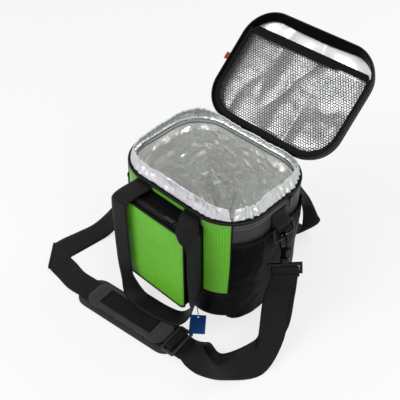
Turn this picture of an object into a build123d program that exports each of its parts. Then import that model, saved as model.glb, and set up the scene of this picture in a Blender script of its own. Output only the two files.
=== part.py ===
"""Soft insulated vaccine carrier with a zipped lid, two hand straps and a clipped shoulder strap.

Frame: millimetres, +Z up, origin at the middle of the underside, front pocket towards -Y.
The lid is modelled standing open, and the straps as they lie when the bag has been put down.
"""
from build123d import *
from math import cos, radians, sin
import os

os.makedirs("parts", exist_ok=True)

# ---------------------------------------------------------------- driving dimensions
bag_w = 300.0            # outside width, along X
bag_d = 230.0            # outside depth, along Y
bag_h = 250.0            # floor to the zip line
corner_r = 80.0          # plan radius of the four corners
shell_t = 1.5            # coated polyester shell with its backing
foam_t = 8.0             # closed-cell wall insulation
liner_t = 1.0            # welded foil liner
band_h = 70.0            # reinforced base band
tape_h = 4.0             # zip tape and piping on top of the wall
tape_proud = 1.2         # how far the tape stands out past the shell
tape_in = 8.0            # how far the tape reaches in from the shell's face
base_t = 1.5             # bottom panel

collar_h = 21.5          # foil flaps standing above the zip line
collar_t = 4.0
collar_in = 8.0          # collar face, in from the shell's face
collar_slit = 5.0        # open slit between two flaps

lid_side_in = 4.0        # lid's edge, in from the shell's side face
lid_end_in = 1.0         # lid's edge, in from the shell's front and back faces
lid_h = 27.0
lid_r = 64.0
lid_open = 138.0         # degrees from closed
lid_gap = 0.3            # running gap between the lid's edge and the body tape
hinge_out = 1.0          # hinge line behind the shell's back face
skirt_t = 2.0
lid_top_t = 1.2
lid_foam_t = 3.0
lid_foil_t = 0.6
lid_tape_h = 8.0
lid_tape_proud = 1.0
mesh_t = 1.0
mesh_drop = 5.0          # pocket depth between the mesh and the foil
mesh_inset = 10.0        # mesh edge, in from the lid's outside
mesh_back = 20.0         # mesh edge in front of the hinge side
elastic_front = 38.0     # elastic's free edge, behind the lid's front edge
elastic_w = 20.0
elastic_t = 2.0
side_tag = (12.0, 14.0, 1.2)     # reach, length, thickness of the blank sewn tag
side_tag_from_hinge = 112.0
hem_h = 3.0              # turned hem along the lid's hinge edge
hem_gap = 0.45
hinge_web_h = 14.0
hinge_web_t = 1.0

pocket_w = 166.0
pocket_d = 48.0
pocket_low = 57.0
pocket_top = 236.0
pocket_r = 14.0
pocket_t = 1.5
piping_r = 1.8
zip_w = 14.0
zip_t = 1.0
zip_from_face = 13.0     # zip line behind the pocket's face

side_pocket_h = 203.0
side_pocket_gap = 5.0
side_pocket_t = 1.2
side_elastic = (9.0, 0.6)        # height, extra thickness each side

handle_w = 40.0
webbing_t = 2.0
handle_pitch = 118.0     # centre to centre of a handle's two ends
front_anchor_h = 9.5
back_anchor_top = 222.0
back_anchor_h = 20.0
anchor_drop = 0.5        # front anchors' upper edge below the zip tape
lay_over = 7.0           # webbing lying over the pocket's top
crown_over = 3.0         # webbing lying across the pad's edge

strap_w = 50.0
tail_l = 16.0            # strap's sewn end beyond the left eye
ring_y = 2.0             # the side rings' middle
bar_r = 2.4              # the ring's round rod
ring_w = 56.0
ring_h = 30.0
ring_bend = 5.0          # corner radius along the rod's middle
ring_stand = 11.0        # ring's top bar outside the shell
ring_over = 3.0          # ring's top bar above the side pocket's edge
tab_w = 40.0
tab_over = 9.0           # tab's seam above the side pocket's edge
tab_sewn = 22.0          # height sewn to the shell
tab_clear = 0.35

ring_lean = 14.0         # degrees the ring leans out over the side pocket
hook_t = 6.0
hook_slot_r = 5.2
hook_slot_l = 17.0
hook_wall = 4.2
hook_play = 1.5          # free height over the ring's bar
cheek = (2.6, -1.2, 3.2, 1.0)     # gate cheek: middle from the pivot, radius, thickness
stem_w = 12.0
stem_end = 40.0          # ring bar to the end of the stem, along the hook
pin_r = 4.0
pin_l = 5.3
pin_head_r = 5.6
pin_head_l = 2.5
run_clear = 0.05         # radial running clearance
gate_pin_r = 1.2
gate_t = 2.6
gate_x = 6.8
gate_pivot = -20.5
gate_tip = -5.6
gate_boss_r = 2.8
gate_gap = 0.4
boss_r = 8.0
boss_l = 12.0
eye_w = 62.0
eye_bar = 5.0
eye_window = 11.0
eye_t = 5.0
eye_reach = (24.0, -18.0, -78.0)   # ring bar to the eye, right side

pad_l = 236.0
pad_w = 72.0
pad_r = 30.0
pad_base_t = 4.0
pad_top_t = 11.0
pad_turn = 6.5           # degrees about Z
pad_aside = -12.0        # pad's middle, along X
pad_ahead = 48.0         # pad's middle, in front of the pocket
tunnel_h = 3.2
tunnel_w = 53.0
inlay = (122.0, 36.0, 1.2)      # length, width, depth of the fabric panel set in its top
inlay_r = 3.0
inlay_gap = 0.1                  # panel to the edge it is set in, all round
inlay_low = 0.3                  # panel's face below the pad's face
pad_raised = (189.0, 60.0)       # raised part's length and width
pad_raised_r = 20.0
pad_edge_r = 4.0
pad_strap_l = 150.0              # straight strap to the left of the pad's middle
slider_at = 110.0                # slider, right of the pad's middle
slider_w = 62.0
slider_l = 30.0
slider_t = 4.5
slider_r = 4.0
slider_bar = 4.5
slider_play = 0.5         # webbing to slider, all round

pull_l = 20.0
pull_w = 7.0
pull_t = 1.2
pull_eye_r = 1.5
ear = (1.0, 3.0)         # slider's ears: thickness, length along the zip
slider_body = (9.0, 11.0, 2.8)   # zip slider: across, along, high
slider_body_r = 2.0
ear_out = 0.7            # slider's ears outside the pull
pin_over = 0.1           # pull's eye above the slider
pull_pin_r = 0.9
pocket_slider_x = 47.0   # where the pocket's slider stands when it is shut

tag_l = 44.0
tag_w = 30.0
tag_t = 0.8
tag_r = 1.5
tag_hole_r = 1.6
tag_hole_in = 5.0        # hole's middle, in from the tag's end
tag_cord_r = 0.8

soft_gap = 0.3           # between soft pieces on different bodies

# ---------------------------------------------------------------- sizes that follow
half_w = bag_w / 2
half_d = bag_d / 2
lid_w = bag_w - 2 * lid_side_in
lid_d = bag_d - 2 * lid_end_in
ring_axis_x = half_w + ring_stand
ring_axis_z = side_pocket_h + ring_over
tab_low = side_pocket_h + tab_over
tab_top = tab_low + tab_sewn
panel_top = bag_h - tape_h
arc_x = half_w - corner_r
arc_y = half_d - corner_r
far = 2 * bag_w
hinge = Vector(0, half_d + hinge_out, bag_h)
open_dir = Vector(0, -cos(radians(lid_open)), sin(radians(lid_open)))
lid_up = Vector(0, sin(radians(lid_open)), cos(radians(lid_open)))
lid_plane = Plane(origin=hinge + open_dir * (half_d + hinge_out), x_dir=(1, 0, 0), z_dir=lid_up)
foil_z = lid_h - lid_top_t - lid_foam_t - lid_foil_t


def save(part, label):
    """Write one sub-part, named as its node."""
    part.part.label = label
    export_step(part.part, "parts/" + label + ".step")


def wall_outline(inset):
    """The bag's plan outline, drawn in by inset."""
    return RectangleRounded(bag_w - 2 * inset, bag_d - 2 * inset, corner_r - inset)


def lid_outline(inset, mode=Mode.ADD):
    """The lid's plan outline, drawn in by inset."""
    return RectangleRounded(lid_w - 2 * inset, lid_d - 2 * inset, lid_r - inset, mode=mode)


def quarter(side, slit=0.0):
    """Corner points of the plan wedge that one side's panel fills, seam to seam."""
    step = slit / 2 ** 0.5
    if side in ("front", "back"):
        sign = -1 if side == "front" else 1
        near, out = arc_x - step, arc_y
        return [(-near, sign * out), (near, sign * out), (near + far, sign * (out + far)),
                (-near - far, sign * (out + far))]
    sign = -1 if side == "left" else 1
    near, out = arc_y - step, arc_x
    return [(sign * out, -near), (sign * out, near), (sign * (out + far), near + far),
            (sign * (out + far), -near - far)]


def wall_piece(side, inset, thickness, low, high, slit=0.0):
    """One side's share of a wall layer that follows the plan outline."""
    with BuildPart() as piece:
        with BuildSketch(Plane.XY.offset(low)):
            wall_outline(inset)
            RectangleRounded(bag_w - 2 * inset - 2 * thickness, bag_d - 2 * inset - 2 * thickness,
                             corner_r - inset - thickness, mode=Mode.SUBTRACT)
            with BuildLine():
                Polyline(*quarter(side, slit), close=True)
            make_face(mode=Mode.INTERSECT)
        extrude(amount=high - low)
    return piece


def eased(points, steps=2):
    """Points on the smooth curve through the given ones, steps to each span."""
    ends = [points[0] * 2 - points[1]] + points + [points[-1] * 2 - points[-2]]
    curve = []
    for a, b, c, d in zip(ends, ends[1:], ends[2:], ends[3:]):
        for k in range(steps):
            t = k / steps
            curve.append((b * 2 + (c - a) * t + (a * 2 - b * 5 + c * 4 - d) * t ** 2
                          + (b * 3 - a - c * 3 + d) * t ** 3) * 0.5)
    return curve + [points[-1]]


def ribbon(stations):
    """Webbing through stations, each given by the two ends of its width."""
    low = eased([Vector(*pair[0]) for pair in stations])
    high = eased([Vector(*pair[1]) for pair in stations])
    mids = [(a + b) * 0.5 for a, b in zip(low, high)]
    with BuildPart() as band:
        for i, mid in enumerate(mids):
            ahead = mids[min(i + 1, len(mids) - 1)] - mids[max(i - 1, 0)]
            across = (high[i] - low[i]).normalized()
            normal = (ahead - across * ahead.dot(across)).normalized()
            with BuildSketch(Plane(origin=mid, x_dir=across, z_dir=normal)):
                Rectangle((high[i] - low[i]).length, webbing_t)
        loft(ruled=True)
    return band


def across_x(x, y, z, width=handle_w):
    """A station whose width runs along X."""
    return ((x - width / 2, y, z), (x + width / 2, y, z))


# ---------------------------------------------------------------- outer shell
for side, label in (("front", "front_panel"), ("back", "back_panel"),
                    ("left", "left_side_panel"), ("right", "right_side_panel")):
    save(wall_piece(side, 0.0, shell_t, band_h, panel_top), label)

with BuildPart() as base_band:
    with BuildSketch():
        wall_outline(0.0)
        RectangleRounded(bag_w - 2 * shell_t, bag_d - 2 * shell_t, corner_r - shell_t,
                         mode=Mode.SUBTRACT)
    extrude(amount=band_h)
save(base_band, "base_band")

with BuildPart() as base_panel:
    with BuildSketch():
        wall_outline(shell_t)
    extrude(amount=base_t)
save(base_panel, "base_panel")

with BuildPart() as rim_zip_tape:
    with BuildSketch(Plane.XY.offset(panel_top)):
        wall_outline(-tape_proud)
        RectangleRounded(bag_w - 2 * tape_in, bag_d - 2 * tape_in, corner_r - tape_in,
                         mode=Mode.SUBTRACT)
    extrude(amount=tape_h)
save(rim_zip_tape, "rim_zip_tape")

# ---------------------------------------------------------------- insulation and liner
with BuildPart() as wall_foam:
    with BuildSketch(Plane.XY.offset(base_t + foam_t)):
        wall_outline(shell_t)
        RectangleRounded(bag_w - 2 * (shell_t + foam_t), bag_d - 2 * (shell_t + foam_t),
                         corner_r - shell_t - foam_t, mode=Mode.SUBTRACT)
    extrude(amount=panel_top - base_t - foam_t)
save(wall_foam, "wall_foam")

with BuildPart() as base_foam:
    with BuildSketch(Plane.XY.offset(base_t)):
        wall_outline(shell_t)
    extrude(amount=foam_t)
save(base_foam, "base_foam")

liner_in = shell_t + foam_t
with BuildPart() as foil_liner:
    with BuildSketch(Plane.XY.offset(base_t + foam_t)):
        wall_outline(liner_in)
    extrude(amount=panel_top - base_t - foam_t)
    with BuildSketch(Plane.XY.offset(base_t + foam_t + liner_t)):
        wall_outline(liner_in + liner_t)
    extrude(amount=panel_top, mode=Mode.SUBTRACT)
save(foil_liner, "foil_liner")

for side in ("front", "back", "left", "right"):
    flap = wall_piece(side, collar_in, collar_t, panel_top, bag_h + collar_h, collar_slit)
    save(flap, "collar_" + side)

# ---------------------------------------------------------------- front pocket
pocket_face_y = -half_d - pocket_d
pocket_mid_z = (pocket_low + pocket_top) / 2
pocket_h = pocket_top - pocket_low
face_plane = Plane(origin=(0, pocket_face_y, pocket_mid_z), x_dir=(1, 0, 0), z_dir=(0, -1, 0))

with BuildPart() as pocket_face:
    with BuildSketch(face_plane.offset(-pocket_t)):
        RectangleRounded(pocket_w, pocket_h, pocket_r)
    extrude(amount=pocket_t)
save(pocket_face, "front_pocket_face")

zip_y = pocket_face_y + zip_from_face
with BuildPart() as pocket_gusset:
    with BuildSketch(face_plane.offset(-pocket_d)):
        RectangleRounded(pocket_w, pocket_h, pocket_r)
        RectangleRounded(pocket_w - 2 * pocket_t, pocket_h - 2 * pocket_t, pocket_r - pocket_t,
                         mode=Mode.SUBTRACT)
    extrude(amount=pocket_d - pocket_t)
save(pocket_gusset, "front_pocket_gusset")

zip_len = pocket_w - 2 * pocket_r
with BuildPart() as pocket_zip:
    with BuildSketch(Plane.XY.offset(pocket_top)):
        with Locations((0, zip_y)):
            Rectangle(zip_len, zip_w)
    extrude(amount=zip_t)
save(pocket_zip, "front_pocket_zip")

with BuildPart() as pocket_piping:
    with BuildSketch(face_plane.offset(-piping_r)):
        RectangleRounded(pocket_w + 2 * piping_r, pocket_h + 2 * piping_r, pocket_r + piping_r)
        RectangleRounded(pocket_w, pocket_h, pocket_r, mode=Mode.SUBTRACT)
    extrude(amount=2 * piping_r)
save(pocket_piping, "front_pocket_piping")

# ---------------------------------------------------------------- side pockets
for side in ("left", "right"):
    sign = -1 if side == "left" else 1
    outer = -side_pocket_gap - side_pocket_t
    with BuildPart() as side_pocket:
        with BuildSketch():
            wall_outline(outer)
            RectangleRounded(bag_w, bag_d, corner_r, mode=Mode.SUBTRACT)
            with BuildLine():
                Polyline(*quarter(side), close=True)
            make_face(mode=Mode.INTERSECT)
        extrude(amount=side_pocket_h - side_elastic[0])
        with BuildSketch(Plane.XY.offset(side_pocket_t)):
            wall_outline(-side_pocket_gap)
            RectangleRounded(bag_w, bag_d, corner_r, mode=Mode.SUBTRACT)
            with BuildLine():
                Polyline(*quarter(side, 2 * side_pocket_t), close=True)
            make_face(mode=Mode.INTERSECT)
        extrude(amount=side_pocket_h, mode=Mode.SUBTRACT)
    save(side_pocket, side + "_side_pocket")
    with BuildPart() as pocket_elastic:
        with BuildSketch(Plane.XY.offset(side_pocket_h - side_elastic[0])):
            wall_outline(outer - side_elastic[1])
            RectangleRounded(bag_w + 2 * side_pocket_gap - 2 * side_elastic[1],
                             bag_d + 2 * side_pocket_gap - 2 * side_elastic[1],
                             corner_r + side_pocket_gap - side_elastic[1], mode=Mode.SUBTRACT)
            with BuildLine():
                Polyline(*quarter(side), close=True)
            make_face(mode=Mode.INTERSECT)
        extrude(amount=side_elastic[0])
    save(pocket_elastic, side + "_pocket_elastic")

# ---------------------------------------------------------------- handle anchors
front_anchor = (-half_d - webbing_t / 2, panel_top - anchor_drop, front_anchor_h)
back_anchor = (half_d + webbing_t / 2, back_anchor_top, back_anchor_h)
with BuildPart() as anchors:
    for y, top, height in (front_anchor, back_anchor):
        for x in (-handle_pitch / 2, handle_pitch / 2):
            with Locations((x, y, top - height / 2)):
                Box(handle_w, webbing_t, height)
save(anchors, "handle_anchors")

# ---------------------------------------------------------------- lid, drawn in its own closed plane
with BuildPart() as lid_skirt:
    with BuildSketch(lid_plane.offset(lid_gap)):
        lid_outline(0.0)
        lid_outline(skirt_t, mode=Mode.SUBTRACT)
    extrude(amount=lid_h - lid_top_t - lid_gap)
    hem_reach = half_d + hinge_out - hem_gap - lid_d / 2
    with BuildSketch(lid_plane.offset(lid_gap)):
        with Locations((0, (lid_d + hem_reach) / 2)):
            Rectangle(2 * arc_x - 2 * hem_gap, hem_reach)
    extrude(amount=hem_h)
save(lid_skirt, "lid_skirt")

with BuildPart() as lid_top:
    with BuildSketch(lid_plane.offset(lid_h - lid_top_t)):
        lid_outline(0.0)
    extrude(amount=lid_top_t)
save(lid_top, "lid_top")

with BuildPart() as lid_foam:
    with BuildSketch(lid_plane.offset(foil_z + lid_foil_t)):
        lid_outline(skirt_t)
    extrude(amount=lid_foam_t)
save(lid_foam, "lid_foam")

with BuildPart() as lid_foil:
    with BuildSketch(lid_plane.offset(foil_z)):
        lid_outline(skirt_t)
    extrude(amount=lid_foil_t)
save(lid_foil, "lid_foil")

with BuildPart() as lid_zip_tape:
    with BuildSketch(lid_plane.offset(lid_gap)):
        lid_outline(-lid_tape_proud)
        lid_outline(0.0, mode=Mode.SUBTRACT)
        with Locations((0, lid_d / 2)):
            Rectangle(2 * (lid_w / 2 - lid_r), 2 * lid_tape_proud + 1.0, mode=Mode.SUBTRACT)
    extrude(amount=lid_tape_h)
save(lid_zip_tape, "lid_zip_tape")

mesh_z = foil_z - mesh_drop - mesh_t
mesh_edge = -lid_d / 2 + elastic_front + elastic_w
mesh_w = lid_w - 2 * mesh_inset
mesh_d = lid_d - 2 * mesh_back
mesh_r = lid_r - mesh_inset / 2
with BuildPart() as mesh_pocket:
    with BuildSketch(lid_plane.offset(mesh_z)):
        RectangleRounded(mesh_w, mesh_d, mesh_r)
        with Locations((0, mesh_edge - far / 2)):
            Rectangle(far, far, mode=Mode.SUBTRACT)
    extrude(amount=mesh_drop + mesh_t)
    with BuildSketch(lid_plane.offset(mesh_z + mesh_t)):
        RectangleRounded(mesh_w - 2 * mesh_t, mesh_d - 2 * mesh_t, mesh_r - mesh_t)
    extrude(amount=mesh_drop, mode=Mode.SUBTRACT)
save(mesh_pocket, "lid_mesh_pocket")

with BuildPart() as pocket_band:
    with BuildSketch(lid_plane.offset(mesh_z)):
        RectangleRounded(mesh_w, mesh_d, mesh_r)
        with Locations((0, mesh_edge - elastic_w - far / 2), (0, mesh_edge + far / 2)):
            Rectangle(far, far, mode=Mode.SUBTRACT)
    extrude(amount=elastic_t)
save(pocket_band, "lid_pocket_elastic")

with BuildPart() as side_label:
    tag_mid = (-lid_w / 2 - lid_tape_proud - side_tag[0] / 2, half_d + hinge_out - side_tag_from_hinge)
    with BuildSketch(lid_plane.offset(lid_gap + lid_tape_h / 2)):
        with Locations(tag_mid):
            Rectangle(side_tag[0], side_tag[1])
    extrude(amount=side_tag[2])
save(side_label, "lid_side_tag")

with BuildPart() as hinge_web:
    with Locations((0, half_d + hinge_web_t / 2, panel_top - hinge_web_h / 2)):
        Box(2 * arc_x, hinge_web_t, hinge_web_h)
save(hinge_web, "lid_hinge_web")

# ---------------------------------------------------------------- hand straps
stub_y = -half_d - webbing_t - soft_gap
front_y = pocket_face_y - webbing_t          # where the webbing turns down over the pocket
lay_z = pocket_top + lay_over
left_x, right_x = -handle_pitch / 2, handle_pitch / 2
low_z = pad_base_t + pad_top_t + crown_over

left_stub = ribbon([across_x(left_x, stub_y, lay_z - 1), across_x(left_x, stub_y - 14, lay_z),
                    across_x(left_x - 1, front_y + 3, lay_z)])
right_stub = ribbon([across_x(right_x, stub_y, lay_z - 1), ((44, -132, lay_z), (83, -125, lay_z)),
                     ((61, -159, lay_z), (92, -134, lay_z))])
with BuildPart() as front_stubs:
    add(left_stub.part)
    add(right_stub.part)
save(front_stubs, "front_handle_ends")

front_loop = ribbon([
    across_x(left_x - 1, front_y + 1, lay_z),
    across_x(left_x - 2, front_y - 7, lay_z - 5),
    across_x(left_x - 3, front_y - 10, lay_z - 22),
    across_x(left_x - 2, front_y - 11, 142),
    ((-77, front_y - 13, 80), (-38, front_y - 12, 82)),
    ((-68, -181, 42), (-35, -175, 62)),
    ((-48, -193, low_z + 1), (-20, -168, low_z + 14)),
    ((-10, -199, low_z), (-5, -160, low_z)),
    ((35, -194, low_z), (38, -155, low_z + 1)),
    ((80, -178, low_z + 4), (62, -144, low_z + 1)),
    ((98, -162, 54), (78, -129, 44)),
    ((98, -167, 92), (89, -129, 96)),
    ((95, -168, 150), (90, -129, 150)),
    ((95, -170, 216), (93, -131, 216)),
    ((82, -174, lay_z - 6), (98, -138, lay_z - 8)),
    ((63, -163, lay_z), (94, -138, lay_z - 2))])
save(front_loop, "front_handle")

back_y = half_d + webbing_t + soft_gap
back_right = [
    across_x(right_x + 12, back_y + 1, back_anchor_top - back_anchor_h / 2 - 2),
    across_x(right_x + 17, back_y + 18, 176),
    across_x(right_x + 24, back_y + 52, 120),
    ((69, back_y + 76, 66), (108, back_y + 80, 60)),
    ((78, back_y + 72, 32), (111, back_y + 88, 44)),
    ((83, back_y + 60, 13), (106, back_y + 88, 29)),
    ((77, back_y + 51, 4), (93, back_y + 88, 13)),
    ((60, back_y + 47, 2), (68, back_y + 86, 4)),
    ((30, back_y + 47, 2), (33, back_y + 87, 2))]
back_mid = ((0, back_y + 50, 2), (0, back_y + 90, 2))
back_left = [((-a[0], a[1], a[2]), (-b[0], b[1], b[2])) for a, b in reversed(back_right)]
back_loop = ribbon(back_right + [back_mid] + back_left)
save(back_loop, "back_handle")

# ---------------------------------------------------------------- side rings, tabs and snap hooks
with BuildPart() as right_tab:
    with BuildSketch(Plane(origin=(0, ring_y + tab_w / 2, 0), x_dir=(1, 0, 0), z_dir=(0, -1, 0))):
        with BuildLine():
            Polyline((half_w, tab_top), (half_w, tab_low), (ring_axis_x - 5.0, ring_axis_z - 2.0),
                     (ring_axis_x, ring_axis_z - bar_r - tab_clear - webbing_t),
                     (ring_axis_x + 5.3, ring_axis_z), (ring_axis_x + 3.6, ring_axis_z + 4.2),
                     (half_w + webbing_t, tab_low + 10.0), (half_w + webbing_t, tab_top), close=True)
        make_face()
        with Locations((ring_axis_x, ring_axis_z)):
            Circle(bar_r + tab_clear, mode=Mode.SUBTRACT)
    extrude(amount=tab_w)

lean = radians(ring_lean)
ring_axis = Vector(ring_axis_x, ring_y, ring_axis_z)
ring_plane = Plane(origin=ring_axis, x_dir=(0, 1, 0), z_dir=(cos(lean), 0, sin(lean)))
ring_up = ring_h - 2 * bar_r
with BuildPart() as right_ring:
    with BuildLine(ring_plane) as ring_line:
        half = ring_w / 2 - bar_r
        FilletPolyline((half, 0), (-half, 0), (-half, -ring_up), (half, -ring_up),
                       radius=ring_bend, close=True)
    with BuildSketch(Plane(origin=ring_line.line @ 0, z_dir=ring_line.line % 0)):
        Circle(bar_r)
    sweep()

bar = ring_axis + Vector(sin(lean), 0, -cos(lean)) * ring_up
down = Vector(*eye_reach).normalized()
hook_n = (down * down.Y - Vector(0, 1, 0)).normalized()
hook_x = (-down).cross(hook_n)
hook_plane = Plane(origin=bar, x_dir=hook_x, z_dir=hook_n)
slot_low = -hook_slot_l
slot_top = -(hook_slot_r - bar_r - hook_play)
hook_out = hook_slot_r + hook_wall
mouth_mid = (slot_top + slot_low) / 2
with BuildPart() as right_hook:
    with BuildSketch(hook_plane.offset(-hook_t / 2)):
        with Locations((0, mouth_mid)):
            SlotCenterToCenter(slot_top - slot_low, 2 * hook_out, rotation=90)
        with Locations((0, (slot_low - stem_end) / 2)):
            Rectangle(stem_w, stem_end + slot_low)
        with Locations((0, mouth_mid)):
            SlotCenterToCenter(slot_top - slot_low, 2 * hook_slot_r, rotation=90, mode=Mode.SUBTRACT)
        with Locations((hook_out - hook_wall / 2 + 0.5, (gate_pivot + gate_tip) / 2)):
            Rectangle(hook_wall + 3, gate_tip - gate_pivot + 0.6, mode=Mode.SUBTRACT)
        with Locations((gate_x, gate_pivot)):
            Circle(gate_boss_r + gate_gap, mode=Mode.SUBTRACT)
    extrude(amount=hook_t)
    for low in (-hook_t / 2, hook_t / 2 - cheek[3]):
        with BuildSketch(hook_plane.offset(low)):
            with Locations((gate_x, gate_pivot)):
                Circle(gate_pin_r)
            with Locations((gate_x + cheek[0], gate_pivot + cheek[1])):
                Circle(cheek[2])
        extrude(amount=cheek[3])
    with BuildSketch(hook_plane.offset(-hook_t / 2)):
        with Locations((gate_x, gate_pivot)):
            Circle(gate_pin_r)
    extrude(amount=hook_t)
    stem_plane = Plane(origin=bar + down * stem_end, x_dir=hook_n, z_dir=down)
    with BuildSketch(stem_plane.offset(-1.0)):
        Circle(pin_r)
    extrude(amount=1.0 + pin_l + pin_head_l)
    with BuildSketch(stem_plane.offset(pin_l)):
        Circle(pin_head_r)
    extrude(amount=pin_head_l)

with BuildPart() as right_gate:
    with BuildSketch(hook_plane.offset(-hook_t / 2 + cheek[3] + gate_gap)):
        with Locations((gate_x, gate_pivot)):
            Circle(gate_boss_r)
        with Locations((gate_x, (gate_pivot + gate_tip) / 2)):
            Rectangle(gate_t, gate_tip - gate_pivot)
        with Locations((gate_x, gate_pivot)):
            Circle(gate_pin_r + run_clear, mode=Mode.SUBTRACT)
    extrude(amount=hook_t - 2 * (cheek[3] + gate_gap))

along_bar = Vector(0.72, 0.69, 0.0)
along_bar = (along_bar - down * along_bar.dot(down)).normalized()
eye_plane = Plane(origin=bar + down * stem_end, x_dir=along_bar, z_dir=down)
eye_h = 2 * eye_bar + eye_window
with BuildPart() as right_eye:
    with BuildSketch(eye_plane.offset(gate_gap)):
        Circle(boss_r)
    extrude(amount=boss_l)
    with BuildSketch(eye_plane.offset(boss_l)):
        Rectangle(eye_w, eye_t)
    extrude(amount=eye_h)
    with BuildSketch(eye_plane.offset(boss_l + eye_bar)):
        Rectangle(eye_w - 2 * eye_bar, eye_t)
    extrude(amount=eye_window, mode=Mode.SUBTRACT)
    with BuildSketch(eye_plane):
        Circle(pin_r + run_clear)
    extrude(amount=pin_l, mode=Mode.SUBTRACT)
    with BuildSketch(eye_plane.offset(pin_l - gate_gap)):
        Circle(pin_head_r + gate_gap)
    extrude(amount=pin_head_l + 2 * gate_gap, mode=Mode.SUBTRACT)

for name, piece in (("side_tab", right_tab), ("side_ring", right_ring), ("snap_hook", right_hook),
                    ("hook_gate", right_gate), ("hook_eye", right_eye)):
    save(piece, "right_" + name)
    with BuildPart() as left_piece:
        add(piece.part)
        mirror(about=Plane.YZ, mode=Mode.REPLACE)
    save(left_piece, "left_" + name)

# ---------------------------------------------------------------- shoulder strap
eye_mid = bar + down * (stem_end + boss_l + eye_h - eye_bar / 2)
wrap_in = eye_bar / 2 * 2 ** 0.5 + soft_gap
wrap_mid = wrap_in + webbing_t / 2
facing = along_bar.cross(down).normalized()
if facing.Y > 0:
    facing = facing * -1


def at_eye(side, offset, drop=0.0):
    """The strap's width where it leaves an eye's bar, side +1 on the right and -1 on the left."""
    middle = eye_mid + facing * offset + down * drop
    out = middle + along_bar * (strap_w / 2)
    near = middle - along_bar * (strap_w / 2)
    return ((side * out.X, out.Y, out.Z), (side * near.X, near.Y, near.Z))


def beside(side, u, v, z):
    """A point u outside the bag's side face and v in front of its front face."""
    return (side * (half_w + u), -half_d - v, z)


def laid(side, rows):
    """Stations of webbing lying beside the bag, each row its two ends as u, v, z."""
    return [(beside(side, *row[:3]), beside(side, *row[3:])) for row in rows]


def round_eye(side, first, last, steps=6):
    """Stations turning over an eye's bar, from one angle to another, 0 at the front."""
    turns = [radians(first + (last - first) * k / steps) for k in range(steps + 1)]
    return [at_eye(side, wrap_mid * cos(turn), -wrap_mid * sin(turn)) for turn in turns]


strap_z = pad_base_t + tunnel_h / 2
pad_plane = Plane(origin=(pad_aside, pocket_face_y - pad_ahead, 0),
                  x_dir=(cos(radians(pad_turn)), sin(radians(pad_turn)), 0), z_dir=(0, 0, 1))


def on_pad(x, z, width=strap_w):
    """A station across the pad's own length."""
    front = pad_plane.from_local_coords(Vector(x, -width / 2, z))
    back = pad_plane.from_local_coords(Vector(x, width / 2, z))
    return (tuple(front), tuple(back))


second_z = strap_z + webbing_t + slider_play
slider_z = second_z + webbing_t / 2 + slider_play
run_end = slider_at + slider_l / 2 + 1.0

with BuildPart() as pad_run:
    with BuildSketch(pad_plane.offset(strap_z - webbing_t / 2)):
        with Locations(((run_end - pad_strap_l) / 2, 0)):
            Rectangle(run_end + pad_strap_l, strap_w)
    extrude(amount=webbing_t)
save(pad_run, "strap_pad_run")

slider_hoop = slider_z + slider_t + slider_play
with BuildPart() as outer_run:
    add(ribbon([
        on_pad(run_end, second_z),
        on_pad(run_end + 5, second_z),
        on_pad(run_end + 9, second_z + 0.5),
        *laid(1, [(-4, 108, 4, -7, 67, 33),
                  (24, 103, 1.2, 27, 86, 47),
                  (62, 80, 1.2, 54, 88, 49),
                  (101, 26, 1.2, 72, 28, 42),
                  (92, -42, 27, 61, -4, 35),
                  (63, -89, 72, 26, -57, 70)]),
        at_eye(1, wrap_mid, 1.0)]).part)
    with BuildSketch(pad_plane.offset(second_z - webbing_t / 2)):
        with Locations(((slider_at + run_end) / 2, 0)):
            Rectangle(run_end - slider_at, strap_w)
    extrude(amount=webbing_t)
    with BuildSketch(pad_plane.offset(second_z)):
        with Locations((slider_at, 0)):
            Rectangle(slider_bar + 2 * (slider_play + webbing_t), strap_w)
            Rectangle(slider_bar + 2 * slider_play, strap_w, mode=Mode.SUBTRACT)
    extrude(amount=slider_hoop + webbing_t - second_z)
    with BuildSketch(pad_plane.offset(slider_hoop)):
        with Locations((slider_at, 0)):
            Rectangle(slider_bar + 2 * slider_play, strap_w)
    extrude(amount=webbing_t)
save(outer_run, "strap_right_outer")

inner_run = ribbon([
    on_pad(run_end, strap_z),
    on_pad(run_end + 4, strap_z),
    on_pad(run_end + 8, strap_z),
    *laid(1, [(-10, 98, 1.6, -10, 56, 22),
              (10, 83, 4, 13, 65, 49),
              (48, 63, 1.5, 44, 69, 51),
              (69, -10, 1.5, 59, 16, 42),
              (82, -62, 24, 50, -24, 30),
              (64, -103, 72, 28, -71, 70)])]
    + round_eye(1, 180, 0))
save(inner_run, "strap_right_inner")

with BuildPart() as strap_slider:
    with BuildSketch(pad_plane.offset(slider_z)):
        with Locations((slider_at, 0)):
            RectangleRounded(slider_l, slider_w, slider_r)
            window = (slider_l - 3 * slider_bar) / 2
            with Locations((-(window + slider_bar) / 2, 0), ((window + slider_bar) / 2, 0)):
                Rectangle(window, slider_w - 2 * slider_bar, mode=Mode.SUBTRACT)
    extrude(amount=slider_t)
save(strap_slider, "strap_slider")

left_run = ribbon(
    laid(-1, [(107, 19, 1.2, 55, 24, 1.2),
              (100, -17, 4, 49, -18, 7),
              (91, -53, 24, 43, -40, 29),
              (72, -89, 70, 31, -60, 68)])
    + round_eye(-1, 0, 180)
    + [at_eye(-1, -wrap_mid - 1.0, tail_l)])
save(left_run, "strap_left_run")

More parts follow.
